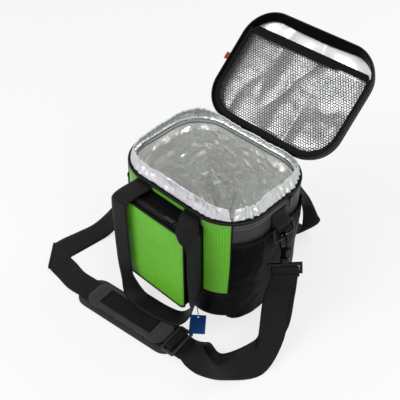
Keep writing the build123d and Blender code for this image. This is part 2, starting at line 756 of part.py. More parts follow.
# the crease where the strap is folded over on the floor, left of the pad
over_z = 3.0
under_z = 0.2
over = [(38.5, 132), (69, 129), (119, 76), (35.5, 82)]
under = [(69, 129), (119, 76), (107, 19), (55, 24)]
crease = [(69, 129), (119, 76), (120.5, 77.5), (70.5, 130.5)]
with BuildPart() as strap_fold:
    add(ribbon([on_pad(-pad_strap_l, strap_z),
                *laid(-1, [(39, 132, over_z + 1, 36, 82, over_z + 1)])]).part)
    for outline, low, thickness in ((over, over_z, webbing_t), (under, under_z, webbing_t),
                                    (crease, under_z, over_z + webbing_t - under_z)):
        with BuildSketch(Plane.XY.offset(low)):
            with BuildLine():
                Polyline(*[beside(-1, u, v, 0)[:2] for u, v in outline], close=True)
            make_face()
        extrude(amount=thickness)
    add(pad_run.part, mode=Mode.SUBTRACT)
    add(left_run.part, mode=Mode.SUBTRACT)
save(strap_fold, "strap_fold")

# ---------------------------------------------------------------- shoulder pad
with BuildPart() as pad_base:
    with BuildSketch(pad_plane):
        RectangleRounded(pad_l, pad_w, pad_r)
    extrude(amount=pad_base_t)
save(pad_base, "pad_base")

with BuildPart() as pad_top:
    with BuildSketch(pad_plane.offset(pad_base_t)):
        RectangleRounded(pad_raised[0], pad_raised[1], pad_raised_r)
    extrude(amount=pad_top_t)
    fillet(pad_top.faces().sort_by(Axis.Z)[-1].edges(), pad_edge_r)
    with BuildSketch(pad_plane.offset(pad_base_t)):
        Rectangle(pad_l, tunnel_w)
    extrude(amount=tunnel_h, mode=Mode.SUBTRACT)
    with BuildSketch(pad_plane.offset(pad_base_t + pad_top_t - inlay[2])):
        RectangleRounded(inlay[0], inlay[1], inlay_r)
    extrude(amount=inlay[2], mode=Mode.SUBTRACT)
save(pad_top, "pad_top")

with BuildPart() as pad_inlay:
    with BuildSketch(pad_plane.offset(pad_base_t + pad_top_t - inlay[2])):
        RectangleRounded(inlay[0] - 2 * inlay_gap, inlay[1] - 2 * inlay_gap, inlay_r - inlay_gap)
    extrude(amount=inlay[2] - inlay_low)
save(pad_inlay, "pad_inlay")

# ---------------------------------------------------------------- zip sliders and pulls
def zip_slider(plane):
    """A slider on a zip, its pull hanging along local X and local Z away from the zip."""
    with BuildPart() as body:
        with BuildSketch(plane):
            RectangleRounded(slider_body[1], slider_body[0], slider_body_r)
        extrude(amount=slider_body[2] / 2)
        with BuildSketch(plane.offset(slider_body[2] / 2)):
            with Locations((0, ear_mid), (0, -ear_mid)):
                Rectangle(ear[1], ear[0])
        extrude(amount=pin_lift + pull_pin_r - slider_body[2] / 2)
        with BuildSketch(Plane(origin=plane.from_local_coords(Vector(0, -ear_mid, pin_lift)),
                               x_dir=plane.x_dir, z_dir=plane.y_dir)):
            Circle(pull_pin_r)
        extrude(amount=2 * ear_mid)
    return body


def zip_pull(plane):
    """The pull on a slider's pin, lying along local X."""
    side = Plane(origin=plane.from_local_coords(Vector(0, -pull_w / 2, pin_lift)),
                 x_dir=plane.x_dir, z_dir=plane.y_dir)
    with BuildPart() as pull:
        with BuildSketch(side):
            Circle(pull_eye_r)
            with Locations((pull_l / 2, 0)):
                Rectangle(pull_l, pull_t)
            Circle(pull_pin_r + run_clear, mode=Mode.SUBTRACT)
        extrude(amount=pull_w)
    return pull


pin_lift = slider_body[2] / 2 + pull_eye_r + pin_over
ear_mid = pull_w / 2 + ear_out
lid_zip_plane = Plane(origin=(half_w + tape_proud + soft_gap, arc_y - 5.0, bag_h - tape_h / 2),
                      x_dir=(0, 0, -1), z_dir=(1, 0, 0))
pocket_zip_plane = Plane(origin=(pocket_slider_x, zip_y, pocket_top + zip_t + 0.1), x_dir=(-1, 0, 0),
                         z_dir=(0, 0, 1))
for label, plane in (("lid_zip", lid_zip_plane), ("pocket_zip", pocket_zip_plane)):
    save(zip_slider(plane), label + "_slider")
    save(zip_pull(plane), label + "_pull")

# ---------------------------------------------------------------- swing tag
tag_mid_xy = (92.0, -139.0)
tag_plane = Plane(origin=(tag_mid_xy[0], tag_mid_xy[1], 0.2), x_dir=(0.64, -0.77, 0), z_dir=(0, 0, 1))
hole_x = -tag_l / 2 + tag_hole_in
with BuildPart() as swing_tag:
    with BuildSketch(tag_plane):
        RectangleRounded(tag_l, tag_w, tag_r)
        with Locations((hole_x, 0)):
            Circle(tag_hole_r, mode=Mode.SUBTRACT)
    extrude(amount=tag_t)
save(swing_tag, "swing_tag")

tag_cord_route = [(79.0, -127.0, 41.0), (77.5, -125.0, 30.0), (76.0, -123.5, 19.0),
                  (76.5, -122.5, 10.0), (77.8, -121.5, 2.0)]
with BuildPart() as tag_cord:
    corners = [Vector(*p) for p in tag_cord_route]
    radii = []
    for a, b, c in zip(corners, corners[1:], corners[2:]):
        turn = radians((b - a).get_angle(c - b))
        radii.append(0.45 * min((b - a).length, (c - b).length) / (sin(turn / 2) / cos(turn / 2)))
    with BuildLine():
        FilletPolyline(*corners, radius=radii)
    with BuildSketch(Plane(origin=corners[0], z_dir=corners[1] - corners[0])):
        Circle(tag_cord_r)
    sweep()
save(tag_cord, "tag_cord")
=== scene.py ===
# %% [markdown]
# # A soft vaccine carrier
# The real thing is a cool bag: coated cloth outside, foam in the wall, foil inside, and straps of webbing.
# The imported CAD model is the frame. It says where each piece is and what moves it. This script gives each
# piece the surface that cloth, foil, webbing and moulded parts have, and never moves the frame.

# %% Load the frame
from bisect import bisect_right
from math import cos, pi, radians, sin

import bmesh
import bpy
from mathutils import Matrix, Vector, noise


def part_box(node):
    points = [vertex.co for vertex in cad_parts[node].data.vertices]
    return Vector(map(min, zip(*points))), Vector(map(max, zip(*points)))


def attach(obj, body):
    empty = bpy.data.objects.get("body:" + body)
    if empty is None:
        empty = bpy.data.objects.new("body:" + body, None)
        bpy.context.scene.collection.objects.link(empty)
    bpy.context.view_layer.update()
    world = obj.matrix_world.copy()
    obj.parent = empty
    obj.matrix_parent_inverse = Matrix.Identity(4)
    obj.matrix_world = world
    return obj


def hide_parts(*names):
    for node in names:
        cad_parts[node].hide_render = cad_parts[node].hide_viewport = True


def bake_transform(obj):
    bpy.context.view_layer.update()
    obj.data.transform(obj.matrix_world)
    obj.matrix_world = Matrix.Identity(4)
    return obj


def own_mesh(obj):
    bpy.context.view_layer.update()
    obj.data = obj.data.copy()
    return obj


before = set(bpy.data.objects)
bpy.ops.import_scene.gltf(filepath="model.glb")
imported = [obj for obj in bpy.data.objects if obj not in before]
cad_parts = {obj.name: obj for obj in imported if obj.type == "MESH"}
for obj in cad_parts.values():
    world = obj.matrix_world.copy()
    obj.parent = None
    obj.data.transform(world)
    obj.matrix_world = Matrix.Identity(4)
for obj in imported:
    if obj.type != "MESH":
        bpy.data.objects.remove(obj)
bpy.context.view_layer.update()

MM = 0.001

# %% [markdown]
# ## Sizes from the frame
# The main pieces are measured from a few boxes of the frame, so that cloth sits on the solid it dresses. The
# plan outline of the bag is a rectangle with large round corners, cut by four seams at the corners.

# %% Sizes
shell_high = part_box("base_band")[1]
tape_low, tape_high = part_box("rim_zip_tape")
half_w = shell_high.x
half_d = shell_high.y
band_top = shell_high.z
wall_top = tape_low.z
rim_top = tape_high.z
corner_r = 80 * MM
bag_plan = (half_w, half_d, corner_r)
print("bag, mm:", round(2 * half_w / MM), round(2 * half_d / MM), round(rim_top / MM))

# %% The outline of a rounded rectangle
SIDES = {0: ((1, 0), (0, -1)), 1: ((0, 1), (1, 0)), 2: ((-1, 0), (0, 1)), 3: ((0, -1), (-1, 0))}


def outline(turn, plan, out=0.0):
    """A point on a plan outline, and the way it faces. turn runs 0 to 4 from the front left seam."""
    wide, deep, r = plan
    side = int(turn // 1) % 4
    along, facing = (Vector((*v, 0)) for v in SIDES[side])
    reach, stand = (wide - r, deep - r) if side % 2 == 0 else (deep - r, wide - r)
    quarter = r * pi / 4
    way = (turn % 1) * (2 * reach + 2 * quarter)
    if way < quarter:
        centre, angle = -reach, way / r - pi / 4
    elif way > quarter + 2 * reach:
        centre, angle = reach, (way - quarter - 2 * reach) / r
    else:
        centre, angle = way - quarter - reach, 0.0
    normal = along * sin(angle) + facing * cos(angle)
    return along * centre + facing * stand + normal * (r + out), normal


# %% [markdown]
# ## Helpers for meshes
# Cloth is a grid of points with a thickness. The UVs are real lengths in metres, so that a weave drawn from
# them has its true pitch on every piece.

# %% Make an object from points and faces
def shape(name, points, faces, uvs=None, smooth=True):
    """A mesh object from points, faces and an optional UV pair for each point."""
    mesh = bpy.data.meshes.new(name)
    mesh.from_pydata([tuple(p) for p in points], [], faces)
    if uvs:
        layer = mesh.uv_layers.new(name="metres")
        for loop in mesh.loops:
            layer.data[loop.index].uv = uvs[loop.vertex_index]
    mesh.polygons.foreach_set("use_smooth", [smooth] * len(mesh.polygons))
    mesh.update()
    piece = bpy.data.objects.new(name, mesh)
    bpy.context.scene.collection.objects.link(piece)
    return piece


def lengths(points):
    """Distance along a row of points, at each of them."""
    total = [0.0]
    for a, b in zip(points, points[1:]):
        total.append(total[-1] + (b - a).length)
    return total


def grid(rows, closed=False, capped=False):
    """Points, faces and metre UVs of a grid given as rows of points. capped fills the first row."""
    wide = len(rows[0])
    faces = [tuple(range(wide))[::-1]] if capped else []
    for i in range(len(rows) - 1):
        for j in range(wide if closed else wide - 1):
            k = (j + 1) % wide
            faces.append((i * wide + j, i * wide + k, (i + 1) * wide + k, (i + 1) * wide + j))
    across = lengths(rows[len(rows) // 2])
    down = lengths([row[wide // 2] for row in rows])
    uvs = [(across[j], down[i]) for i in range(len(rows)) for j in range(wide)]
    return [p for row in rows for p in row], faces, uvs


def cloth(name, rows, thick, closed=False, offset=-1.0, capped=False):
    """A sheet of cloth or foil over a grid of points, with its real thickness."""
    piece = shape(name, *grid(rows, closed, capped))
    solid = piece.modifiers.new("thickness", "SOLIDIFY")
    solid.thickness = thick
    solid.offset = offset
    return piece


def applied(piece):
    """Turns a piece's modifiers into plain mesh."""
    bpy.context.view_layer.update()
    seen = piece.evaluated_get(bpy.context.evaluated_depsgraph_get())
    mesh = bpy.data.meshes.new_from_object(seen)
    piece.modifiers.clear()
    piece.data = mesh
    return piece


def steps(first, last, count):
    """count + 1 even values from first to last."""
    return [first + (last - first) * k / count for k in range(count + 1)]


def around(count):
    """count even turns once round an outline."""
    return steps(0, 4, count)[:-1]


def flat_uvs(piece, measure):
    """Lays a panel's UVs out flat, in metres, so that its weave runs straight across it."""
    layer = piece.data.uv_layers["metres"]
    for loop in piece.data.loops:
        layer.data[loop.index].uv = measure(piece.data.vertices[loop.vertex_index].co)
    return piece


# %% Tubes, for piping and cords
def tube(name, points, radius, closed=False, sides=10):
    """A round tube along a row of points."""
    count = len(points)
    rows = []
    up = Vector((0, 0, 1))
    for i, p in enumerate(points):
        before = points[i - 1] if i or closed else p
        after = points[(i + 1) % count] if i < count - 1 or closed else p
        ahead = (after - before).normalized()
        side = ahead.cross(up)
        if side.length < 0.2:
            side = ahead.cross(Vector((1, 0, 0)))
        side.normalize()
        over = side.cross(ahead)
        rows.append([p + (side * cos(a) + over * sin(a)) * radius for a in steps(0, 2 * pi, sides)[:-1]])
    if closed:
        rows.append(rows[0])
    points_out, faces, uvs = grid(rows, closed=True)
    if not closed:
        faces.append(tuple(range(sides))[::-1])
        faces.append(tuple(range((count - 1) * sides, count * sides)))
    return shape(name, points_out, faces, uvs)


# %% Smooth curves through points
def through(points, each=6):
    """Points on the smooth curve through the given ones."""
    ends = [points[0] * 2 - points[1], *points, points[-1] * 2 - points[-2]]
    curve = []
    for a, b, c, d in zip(ends, ends[1:], ends[2:], ends[3:]):
        for t in steps(0, 1, each)[:-1]:
            curve.append((b * 2 + (c - a) * t + (a * 2 - b * 5 + c * 4 - d) * t ** 2
                          + (b * 3 - a - c * 3 + d) * t ** 3) * 0.5)
    return [*curve, points[-1]]


# %% Webbing
WEB_T = 2 * MM
WEB_STEPS = 8


def webbing(name, stations, thick=WEB_T, each=6, cup=0.4 * MM):
    """A band of webbing through stations in mm, each the two ends of its width."""
    low = through([Vector(a) * MM for a, _ in stations], each)
    high = through([Vector(b) * MM for _, b in stations], each)
    mids = [(a + b) / 2 for a, b in zip(low, high)]
    run = lengths(mids)
    edge = thick / 2
    points, uvs = [], []
    for i, (a, b) in enumerate(zip(low, high)):
        ahead = mids[min(i + 1, len(mids) - 1)] - mids[max(i - 1, 0)]
        across = (b - a).normalized()
        normal = across.cross(ahead).normalized()
        width = (b - a).length
        ring = [(w, 1) for w in steps(-0.5, 0.5, WEB_STEPS)] + [(w, -1) for w in steps(0.5, -0.5, WEB_STEPS)]
        for w, face in ring:
            inner = w * (width - edge)
            bow = cup * (1 - 4 * w * w)
            rim = edge * (0.45 if abs(w) == 0.5 else 1.0)
            points.append(mids[i] + across * inner + normal * (face * rim - bow))
            uvs.append(((w + 0.5) * width, run[i]))
    wide = 2 * (WEB_STEPS + 1)
    faces = [(i * wide + j, i * wide + (j + 1) % wide, (i + 1) * wide + (j + 1) % wide, (i + 1) * wide + j)
             for i in range(len(mids) - 1) for j in range(wide)]
    faces.append(tuple(range(wide))[::-1])
    faces.append(tuple(range((len(mids) - 1) * wide, len(mids) * wide)))
    return shape(name, points, faces, uvs)


# %% Sewing thread
HAIR = 1e-9              # a distance too small to matter, in metres
STITCH_SIDES = 6
STITCH_RINGS = ((0, 0.35, -0.6), (0.2, 1, 0.6), (0.8, 1, 0.6), (1, 0.35, -0.6))   # way, thickness, lift


def spot_on(run, s, near=0.0):
    """The span of a path that a distance s falls in, and the share of that span before it."""
    i = min(bisect_right(run, s + near) - 1, len(run) - 2)
    return i, (s - run[i]) / max(run[i + 1] - run[i], HAIR)


def thread(name, paths, pitch=4 * MM, fill=0.68, radius=0.3 * MM, lift=0.2 * MM):
    """Rows of running stitch. Each path is a row of (point, normal) on the cloth."""
    points, faces = [], []
    for path in paths:
        run = lengths([p for p, _ in path])
        count = max(1, round(run[-1] / pitch))
        for k in range(count):
            ends = []
            for s in ((k + 0.5 - fill / 2) * run[-1] / count, (k + 0.5 + fill / 2) * run[-1] / count):
                i, f = spot_on(run, s, HAIR)
                ends.append((path[i][0].lerp(path[i + 1][0], f), path[i][1]))
            (a, up), (b, _) = ends
            ahead = (b - a).normalized()
            side = ahead.cross(up).normalized()
            base = len(points)
            for t, r, h in STITCH_RINGS:
                mid = a.lerp(b, t) + up * (lift * h)
                for turn in steps(0, 2 * pi, STITCH_SIDES)[:-1]:
                    points.append(mid + (side * cos(turn) + up * sin(turn)) * radius * r)
            for ring in range(len(STITCH_RINGS) - 1):
                low = base + ring * STITCH_SIDES
                high = low + STITCH_SIDES
                for j in range(STITCH_SIDES):
                    after = (j + 1) % STITCH_SIDES
                    faces.append((low + j, low + after, high + after, high + j))
            faces.append(tuple(range(base, base + STITCH_SIDES))[::-1])
            faces.append(tuple(range(len(points) - STITCH_SIDES, len(points))))
    return shape(name, points, faces)


# %% [markdown]
# ## Materials
# Each one starts from what the real surface is. A pattern's scale is worked out from its real pitch.

# %% Colours and nodes
def linear(code):
    """A linear colour from an sRGB hex code."""
    parts = [int(code[i:i + 2], 16) / 255 for i in (1, 3, 5)]
    return (*(c / 12.92 if c <= 0.04045 else ((c + 0.055) / 1.055) ** 2.4 for c in parts), 1.0)


def add(tree, kind, links=None, **settings):
    """Adds a shader node, sets its properties or inputs by name and links its inputs to sockets."""
    made = tree.nodes.new("ShaderNode" + kind)
    for key, value in settings.items():
        words = key.replace("_", " ")
        if hasattr(made, key) and key != "name":
            setattr(made, key, value)
        else:
            next(s for s in made.inputs if s.name.lower() == words.lower()).default_value = value
    for key, source in (links or {}).items():
        socket = made.inputs[key] if isinstance(key, int) else next(
            s for s in made.inputs if s.name.lower() == key.lower())
        tree.links.new(source, socket)
    return made


def surface(name, colour, roughness, **settings):
    """A new material with one Principled shader. Returns it with its tree and shader."""
    material = bpy.data.materials.new(name)
    material.use_nodes = True
    tree = material.node_tree
    shader = tree.nodes["Principled BSDF"]
    shader.inputs["Base Color"].default_value = linear(colour)
    shader.inputs["Roughness"].default_value = roughness
    for key, value in settings.items():
        shader.inputs[key.replace("_", " ")].default_value = value
    material.diffuse_color = linear(colour)
    return material, tree, shader


def raised(tree, shader, height, strength, distance):
    """Gives a shader the bump of a height."""
    bump = add(tree, "Bump", {"Height": height}, Strength=strength, Distance=distance)
    tree.links.new(bump.outputs[0], shader.inputs["Normal"])


def dress(piece, *materials):
    """Gives a piece its materials."""
    piece.data.materials.clear()
    for material in materials:
        piece.data.materials.append(material)
    return piece


# %% Woven cloth
WEFT_SHOWS = 0.25        # least share of the lighter colour between the threads


def wave_scale(pitch):
    """The Wave texture's scale that repeats every pitch metres."""
    return pi / 10 / pitch


def woven(name, colour, shade, pitch, roughness, depth, rib=None, gloss=0.1, **settings):
    """Cloth with warp and weft drawn from its metre UVs, mottled a little where the coating varies.
    The shade colour is painted shade in the gaps between the threads.
    """
    material, tree, shader = surface(name, colour, roughness, Specular_IOR_Level=gloss, **settings)
    uv = add(tree, "TexCoord").outputs["UV"]
    warp = add(tree, "TexWave", {"Vector": uv}, bands_direction="X", Scale=wave_scale(pitch))
    weft = add(tree, "TexWave", {"Vector": uv}, bands_direction="Y", Scale=wave_scale(rib or pitch))
    weave = add(tree, "Math", {0: warp.outputs["Fac"], 1: weft.outputs["Fac"]}, operation="MULTIPLY")
    place = add(tree, "TexCoord").outputs["Object"]
    mottle = add(tree, "TexNoise", {"Vector": place}, Scale=14.0, Detail=3.0)
    mixed = add(tree, "Math", {0: weave.outputs[0], 1: mottle.outputs["Fac"]}, operation="MULTIPLY_ADD")
    mixed.inputs[2].default_value = WEFT_SHOWS
    tint = add(tree, "MixRGB", {"Fac": mixed.outputs[0]}, Color1=linear(shade), Color2=linear(colour))
    tree.links.new(tint.outputs[0], shader.inputs["Base Color"])
    raised(tree, shader, weave.outputs[0], 0.5, depth)
    return material


# The second colour of each cloth is painted shade in the gaps between its threads.
green_ripstop = woven("green_ripstop_polyester", "#86D63C", "#479B1C", 5.0 * MM, 0.42, 0.25 * MM, gloss=0.25)
charcoal_oxford = woven("charcoal_coated_oxford", "#454449", "#2A292D", 2.4 * MM, 0.55, 0.15 * MM, gloss=0.18)
black_oxford = woven("black_coated_oxford", "#0B0B0C", "#040405", 2.4 * MM, 0.5, 0.12 * MM, gloss=0.04)
black_webbing = woven("black_polypropylene_webbing", "#262628", "#030303", 3.0 * MM, 0.45, 0.9 * MM,
                      rib=3.6 * MM, gloss=0.09)
black_elastic = woven("black_knitted_elastic", "#141415", "#060607", 1.2 * MM, 0.7, 0.25 * MM, rib=2.4 * MM)
black_tape = woven("black_twill_binding", "#121213", "#060607", 1.4 * MM, 0.6, 0.15 * MM)
print("woven cloths:", green_ripstop.name, charcoal_oxford.name, black_webbing.name)

# %% [markdown]
# ### Foil, hardware and the rest
# The liner is aluminised film on foam. Film can't stretch, so it takes up slack in small sharp creases,
# drawn here as the edges of crinkled cells on top of the folds that the mesh has. The hooks and rings are
# moulded acetal: black, a little glossy, with the faint waviness that cooling leaves.

# %% Foil, coated backing and foam
def crinkled(name, colour, metallic, roughness, depth, scale):
    """Film with sharp creases at the given scale, in creases to the metre."""
    material, tree, shader = surface(name, colour, roughness, Metallic=metallic)
    place = add(tree, "TexCoord").outputs["Object"]
    bend = add(tree, "TexNoise", {"Vector": place}, Scale=scale * 0.6, Detail=2.0)
    warped = add(tree, "MixRGB", {"Color1": place, "Color2": bend.outputs["Color"]}, Fac=0.03)
    folds = add(tree, "TexVoronoi", {"Vector": warped.outputs[0]}, feature="DISTANCE_TO_EDGE", Scale=scale)
    fine = add(tree, "TexNoise", {"Vector": place}, Scale=scale * 3.0, Detail=4.0)
    height = add(tree, "Math", {0: folds.outputs["Distance"], 1: fine.outputs["Fac"]}, operation="ADD")
    raised(tree, shader, height.outputs[0], 0.8, depth)
    return material


silver_film = crinkled("aluminised_film", "#F8F9F7", 0.75, 0.13, 1.3 * MM, 44.0)
# A darker copy of the same film, as painted shade, for the silver faces of the collar flaps.
collar_film_painted_shade = crinkled("aluminised_film_on_collar_painted_shade", "#C6CAC8", 0.6, 0.24, 1.6 * MM, 45.0)
# A darker copy of the same film, as painted shade, for the liner's floor.
floor_film_painted_shade = crinkled("aluminised_film_on_floor_painted_shade", "#B2B4B0", 0.6, 0.26, 0.7 * MM, 50.0)
lid_film = crinkled("aluminised_film_on_lid", "#E0E2E1", 0.6, 0.3, 0.8 * MM, 22.0)
coated_back = crinkled("coated_film_back", "#CDCCD1", 0.45, 0.34, 1.2 * MM, 34.0)
foam_white = crinkled("closed_cell_polyethylene_foam", "#E6E6E4", 0.0, 0.8, 0.3 * MM, 260.0)


# %% Moulded acetal, painted zinc, knit over foam, card and label
def moulded(name, colour, roughness, wave, **settings):
    """A moulded or cast surface with a faint waviness and a roughness that varies where hands touch it."""
    material, tree, shader = surface(name, colour, roughness, **settings)
    place = add(tree, "TexCoord").outputs["Object"]
    grain = add(tree, "TexNoise", {"Vector": place}, Scale=420.0, Detail=3.0)
    worn = add(tree, "TexNoise", {"Vector": place}, Scale=60.0, Detail=2.0)
    polish = add(tree, "MapRange", {"Value": worn.outputs["Fac"]})
    polish.inputs["To Min"].default_value = roughness * 0.7
    polish.inputs["To Max"].default_value = roughness * 1.4
    tree.links.new(polish.outputs[0], shader.inputs["Roughness"])
    raised(tree, shader, grain.outputs["Fac"], 0.25, wave)
    return material


acetal = moulded("black_acetal_moulding", "#0A0A0B", 0.2, 0.05 * MM, IOR=1.48, Specular_IOR_Level=0.22)
slider_acetal = moulded("matt_black_acetal_moulding", "#29292B", 0.42, 0.05 * MM, IOR=1.48,
                        Specular_IOR_Level=0.4)
zinc = moulded("black_painted_zinc", "#141416", 0.3, 0.04 * MM, IOR=1.5, Specular_IOR_Level=0.3)
card = moulded("coated_blue_card", "#1C4F96", 0.38, 0.03 * MM)
red_tape = woven("red_woven_label_tape", "#C0504D", "#8E3432", 1.2 * MM, 0.65, 0.12 * MM)
zip_tape = woven("black_zip_tape", "#141415", "#0A0A0B", 1.6 * MM, 0.6, 0.2 * MM)
coil = moulded("black_nylon_coil", "#1A1A1B", 0.35, 0.03 * MM, IOR=1.53)
pale_thread = moulded("grey_polyester_thread", "#8D9086", 0.6, 0.02 * MM)
dark_thread = moulded("black_polyester_thread", "#26262A", 0.55, 0.02 * MM)
twine = moulded("black_waxed_cord", "#131314", 0.5, 0.05 * MM)

pad_knit, knit_tree, knit_shader = surface("grey_knit_over_foam", "#262626", 0.8, Specular_IOR_Level=0.2,
                                           Sheen_Weight=0.1, Sheen_Roughness=0.6)
knit_place = add(knit_tree, "TexCoord").outputs["Object"]
knit_cells = add(knit_tree, "TexVoronoi", {"Vector": knit_place}, Scale=1 / (2.2 * MM))
knit_cloud = add(knit_tree, "TexNoise", {"Vector": knit_place}, Scale=30.0, Detail=3.0)
knit_sum = add(knit_tree, "Math", {0: knit_cells.outputs["Distance"], 1: knit_cloud.outputs["Fac"]},
               operation="MULTIPLY_ADD")
knit_sum.inputs[2].default_value = 0.1
# The knit is lighter where it is raised: painted shade in its hollows, mottled by a random cloud.
knit_mottle_and_shade = add(knit_tree, "MixRGB", {"Fac": knit_sum.outputs[0]}, Color1=linear("#222223"),
                Color2=linear("#3F3F40"))
knit_tree.links.new(knit_mottle_and_shade.outputs[0], knit_shader.inputs["Base Color"])
raised(knit_tree, knit_shader, knit_cells.outputs["Distance"], 0.6, 0.3 * MM)
inlay_knit = woven("black_spacer_knit", "#212123", "#0D0D0E", 2.4 * MM, 0.7, 0.3 * MM)
print("materials:", len(bpy.data.materials))

# %% [markdown]
# ## Camera, floor and light
# The camera comes first, so that every later choice is seen from the angle that matters. A long lens from
# about a metre keeps the box from looking distorted. The light is one broad soft lamp from the front left,
# with weaker ones from the right and from behind. The foil and the hooks mirror an even pale surround.

# %% Camera
camera_data = bpy.data.cameras.new("camera")
camera_data.lens = 68.0
camera_data.sensor_width = 36.0
camera = bpy.data.objects.new("camera", camera_data)
camera.location = (0.7064, -0.7754, 1.1144)
look_at = Vector((0.1434, -0.1863, 0.3755))
camera.rotation_euler = (look_at - camera.location).to_track_quat("-Z", "Y").to_euler()
bpy.context.scene.collection.objects.link(camera)
bpy.context.scene.camera = camera
bpy.context.scene.view_settings.view_transform = "Standard"


# %% Soft lamps and a pale surround
WHITE = (1.0, 1.0, 1.0, 1.0)


def lamp(name, place, target, size, watts):
    """A square soft lamp aimed at a point."""
    data = bpy.data.lights.new(name, "AREA")
    data.size = size
    data.energy = watts
    light = bpy.data.objects.new(name, data)
    light.location = place
    light.rotation_euler = (Vector(target) - Vector(place)).to_track_quat("-Z", "Y").to_euler()
    bpy.context.scene.collection.objects.link(light)


lamp("key", (-0.7, -1.3, 1.7), (0, 0, 0.1), 1.1, 17.0)
lamp("fill", (1.7, -0.5, 1.1), (0, 0, 0.15), 1.2, 9.0)
lamp("back", (0.3, 1.6, 1.5), (0, 0, 0.3), 1.0, 9.0)


def pale(tree, shader, strength):
    """Adds a plain white look for the camera and for mirrors to a shader's own light."""
    path = add(tree, "LightPath")
    seen = add(tree, "Math", {0: path.outputs["Is Camera Ray"], 1: path.outputs["Is Glossy Ray"]},
               operation="MAXIMUM")
    seen = add(tree, "Math", {0: seen.outputs[0], 1: path.outputs["Is Transmission Ray"]},
               operation="MAXIMUM")
    share = add(tree, "Math", {0: seen.outputs[0]}, operation="MULTIPLY")
    share.inputs[1].default_value = strength
    glow = add(tree, "Emission" if shader.type != "BACKGROUND" else "Background", Strength=1.0)
    glow.inputs["Color"].default_value = WHITE
    mix = add(tree, "MixShader", {0: share.outputs[0], 1: shader.outputs[0], 2: glow.outputs[0]})
    out = next(n for n in tree.nodes if n.type.startswith("OUTPUT"))
    tree.links.new(mix.outputs[0], out.inputs["Surface"])


world = bpy.data.worlds.new("surround")
world.use_nodes = True
bpy.context.scene.world = world
world_light = world.node_tree.nodes["Background"]
world_light.inputs["Color"].default_value = WHITE
world_light.inputs["Strength"].default_value = 0.55
pale(world.node_tree, world_light, 1.0)

floor_half = 25.0
floor_low = -0.2 * MM
floor = shape("floor", [(x * floor_half, y * floor_half, floor_low)
                        for x, y in ((-1, -1), (1, -1), (1, 1), (-1, 1))], [(0, 1, 2, 3)])
floor_paint, floor_tree, floor_shader = surface("matt_white_board", "#F1F1F1", 0.9)
pale(floor_tree, floor_shader, 0.72)
dress(floor, floor_paint)


# %% One call for what every piece needs
def fit(piece, body, slot, *nodes):
    """Rides a piece on a body and hides the CAD nodes that it stands for. slot is not used."""
    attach(piece, body)
    if nodes:
        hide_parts(*nodes)
    return piece


# %% [markdown]
# ## The tag and its string
# The tag is a blank card on a short waxed string, tied round the front handle. A string is a curve with a
# round section, so its length and its bends stay easy to read and to change.

# %% String
string_route = [(79.0, -127.0, 41.0), (77.5, -125.0, 30.0), (76.0, -123.5, 19.0), (76.5, -122.5, 10.0),
                (77.8, -121.5, 2.0)]
string_r = 0.8 * MM
string_curve = bpy.data.curves.new("tag_string", "CURVE")
string_curve.dimensions = "3D"
string_curve.bevel_depth = string_r
string_curve.bevel_resolution = 4
string_curve.use_fill_caps = True
spline = string_curve.splines.new("NURBS")
spline.points.add(len(string_route) - 1)
for knot, p in zip(spline.points, string_route):
    knot.co = (*(Vector(p) * MM), 1.0)
spline.order_u = 3
spline.use_endpoint_u = True
string = bpy.data.objects.new("tag_string", string_curve)
bpy.context.scene.collection.objects.link(string)
dress(string, twine)
fit(string, "carrier", "tag_string", "tag_cord")

# %% Blank card
dress(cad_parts["swing_tag"], card)

# %% [markdown]
# ## The shell
# The walls are four sewn panels over sheet foam. They could be boxes with rounded corners, but cloth over
# foam is never flat: it draws in between the corners, tapers towards the floor and creases a little. So each
# panel is a grid that follows the plan outline, moved by one soft field that all the layers share.

# %% One soft field for all the wall layers
def ease(t):
    """Smooth step from 0 to 1."""
    t = min(max(t, 0.0), 1.0)
    return t * t * (3 - 2 * t)


def slack(p, size, amount):
    """A smooth in-and-out of cloth, with creases of about the given size."""
    return amount * noise.noise(p / size)


taper_top = 170 * MM
taper = (8 * MM, 2 * MM, 4 * MM)   # drawn in at the floor: sides, front and back, corner radius
wall_draw = 1.6 * MM


def wall_at(turn, z, out=0.0, crease=0.5 * MM):
    """A point of a wall layer at a height, out from the shell's face, with the shell's shared sag."""
    low = 1 - ease(z / taper_top)
    tapered = [size - by * low for size, by in zip(bag_plan, taper)]
    point, normal = outline(turn, tapered, out)
    middle = sin(pi * (turn % 1)) ** 2
    draw = -wall_draw * middle * sin(pi * min(z / rim_top, 1.0))
    spot = point + Vector((0, 0, z))
    free = ease((wall_top - z) / (20 * MM))
    return spot + normal * (draw + free * (slack(spot, 70 * MM, 2.0 * MM) + slack(spot, 18 * MM, crease)))


def wall_rows(turns, places, crease=0.5 * MM):
    """A grid of wall points, one row for each place: how far out it is, and how high."""
    return [[wall_at(t, z, out, crease) for t in turns] for out, z in places]


# %% Front, right, back and left panels
panels = ("front_panel", "right_side_panel", "back_panel", "left_side_panel")
for turn, node_name in enumerate(panels):
    sideways = "side" in node_name
    heights = steps(band_top - 1 * MM, wall_top, 44)
    rows = wall_rows(steps(turn, turn + 1, 72), [(0.0, z) for z in heights])
    panel = cloth(node_name + "_cloth", rows, 1.2 * MM)
    dress(panel, charcoal_oxford if sideways else green_ripstop)
    fit(panel, "carrier", "charcoal_shell" if sideways else "green_shell", node_name)
print("wall panels:", len(panels), "height, mm:", round((wall_top - band_top) / MM))

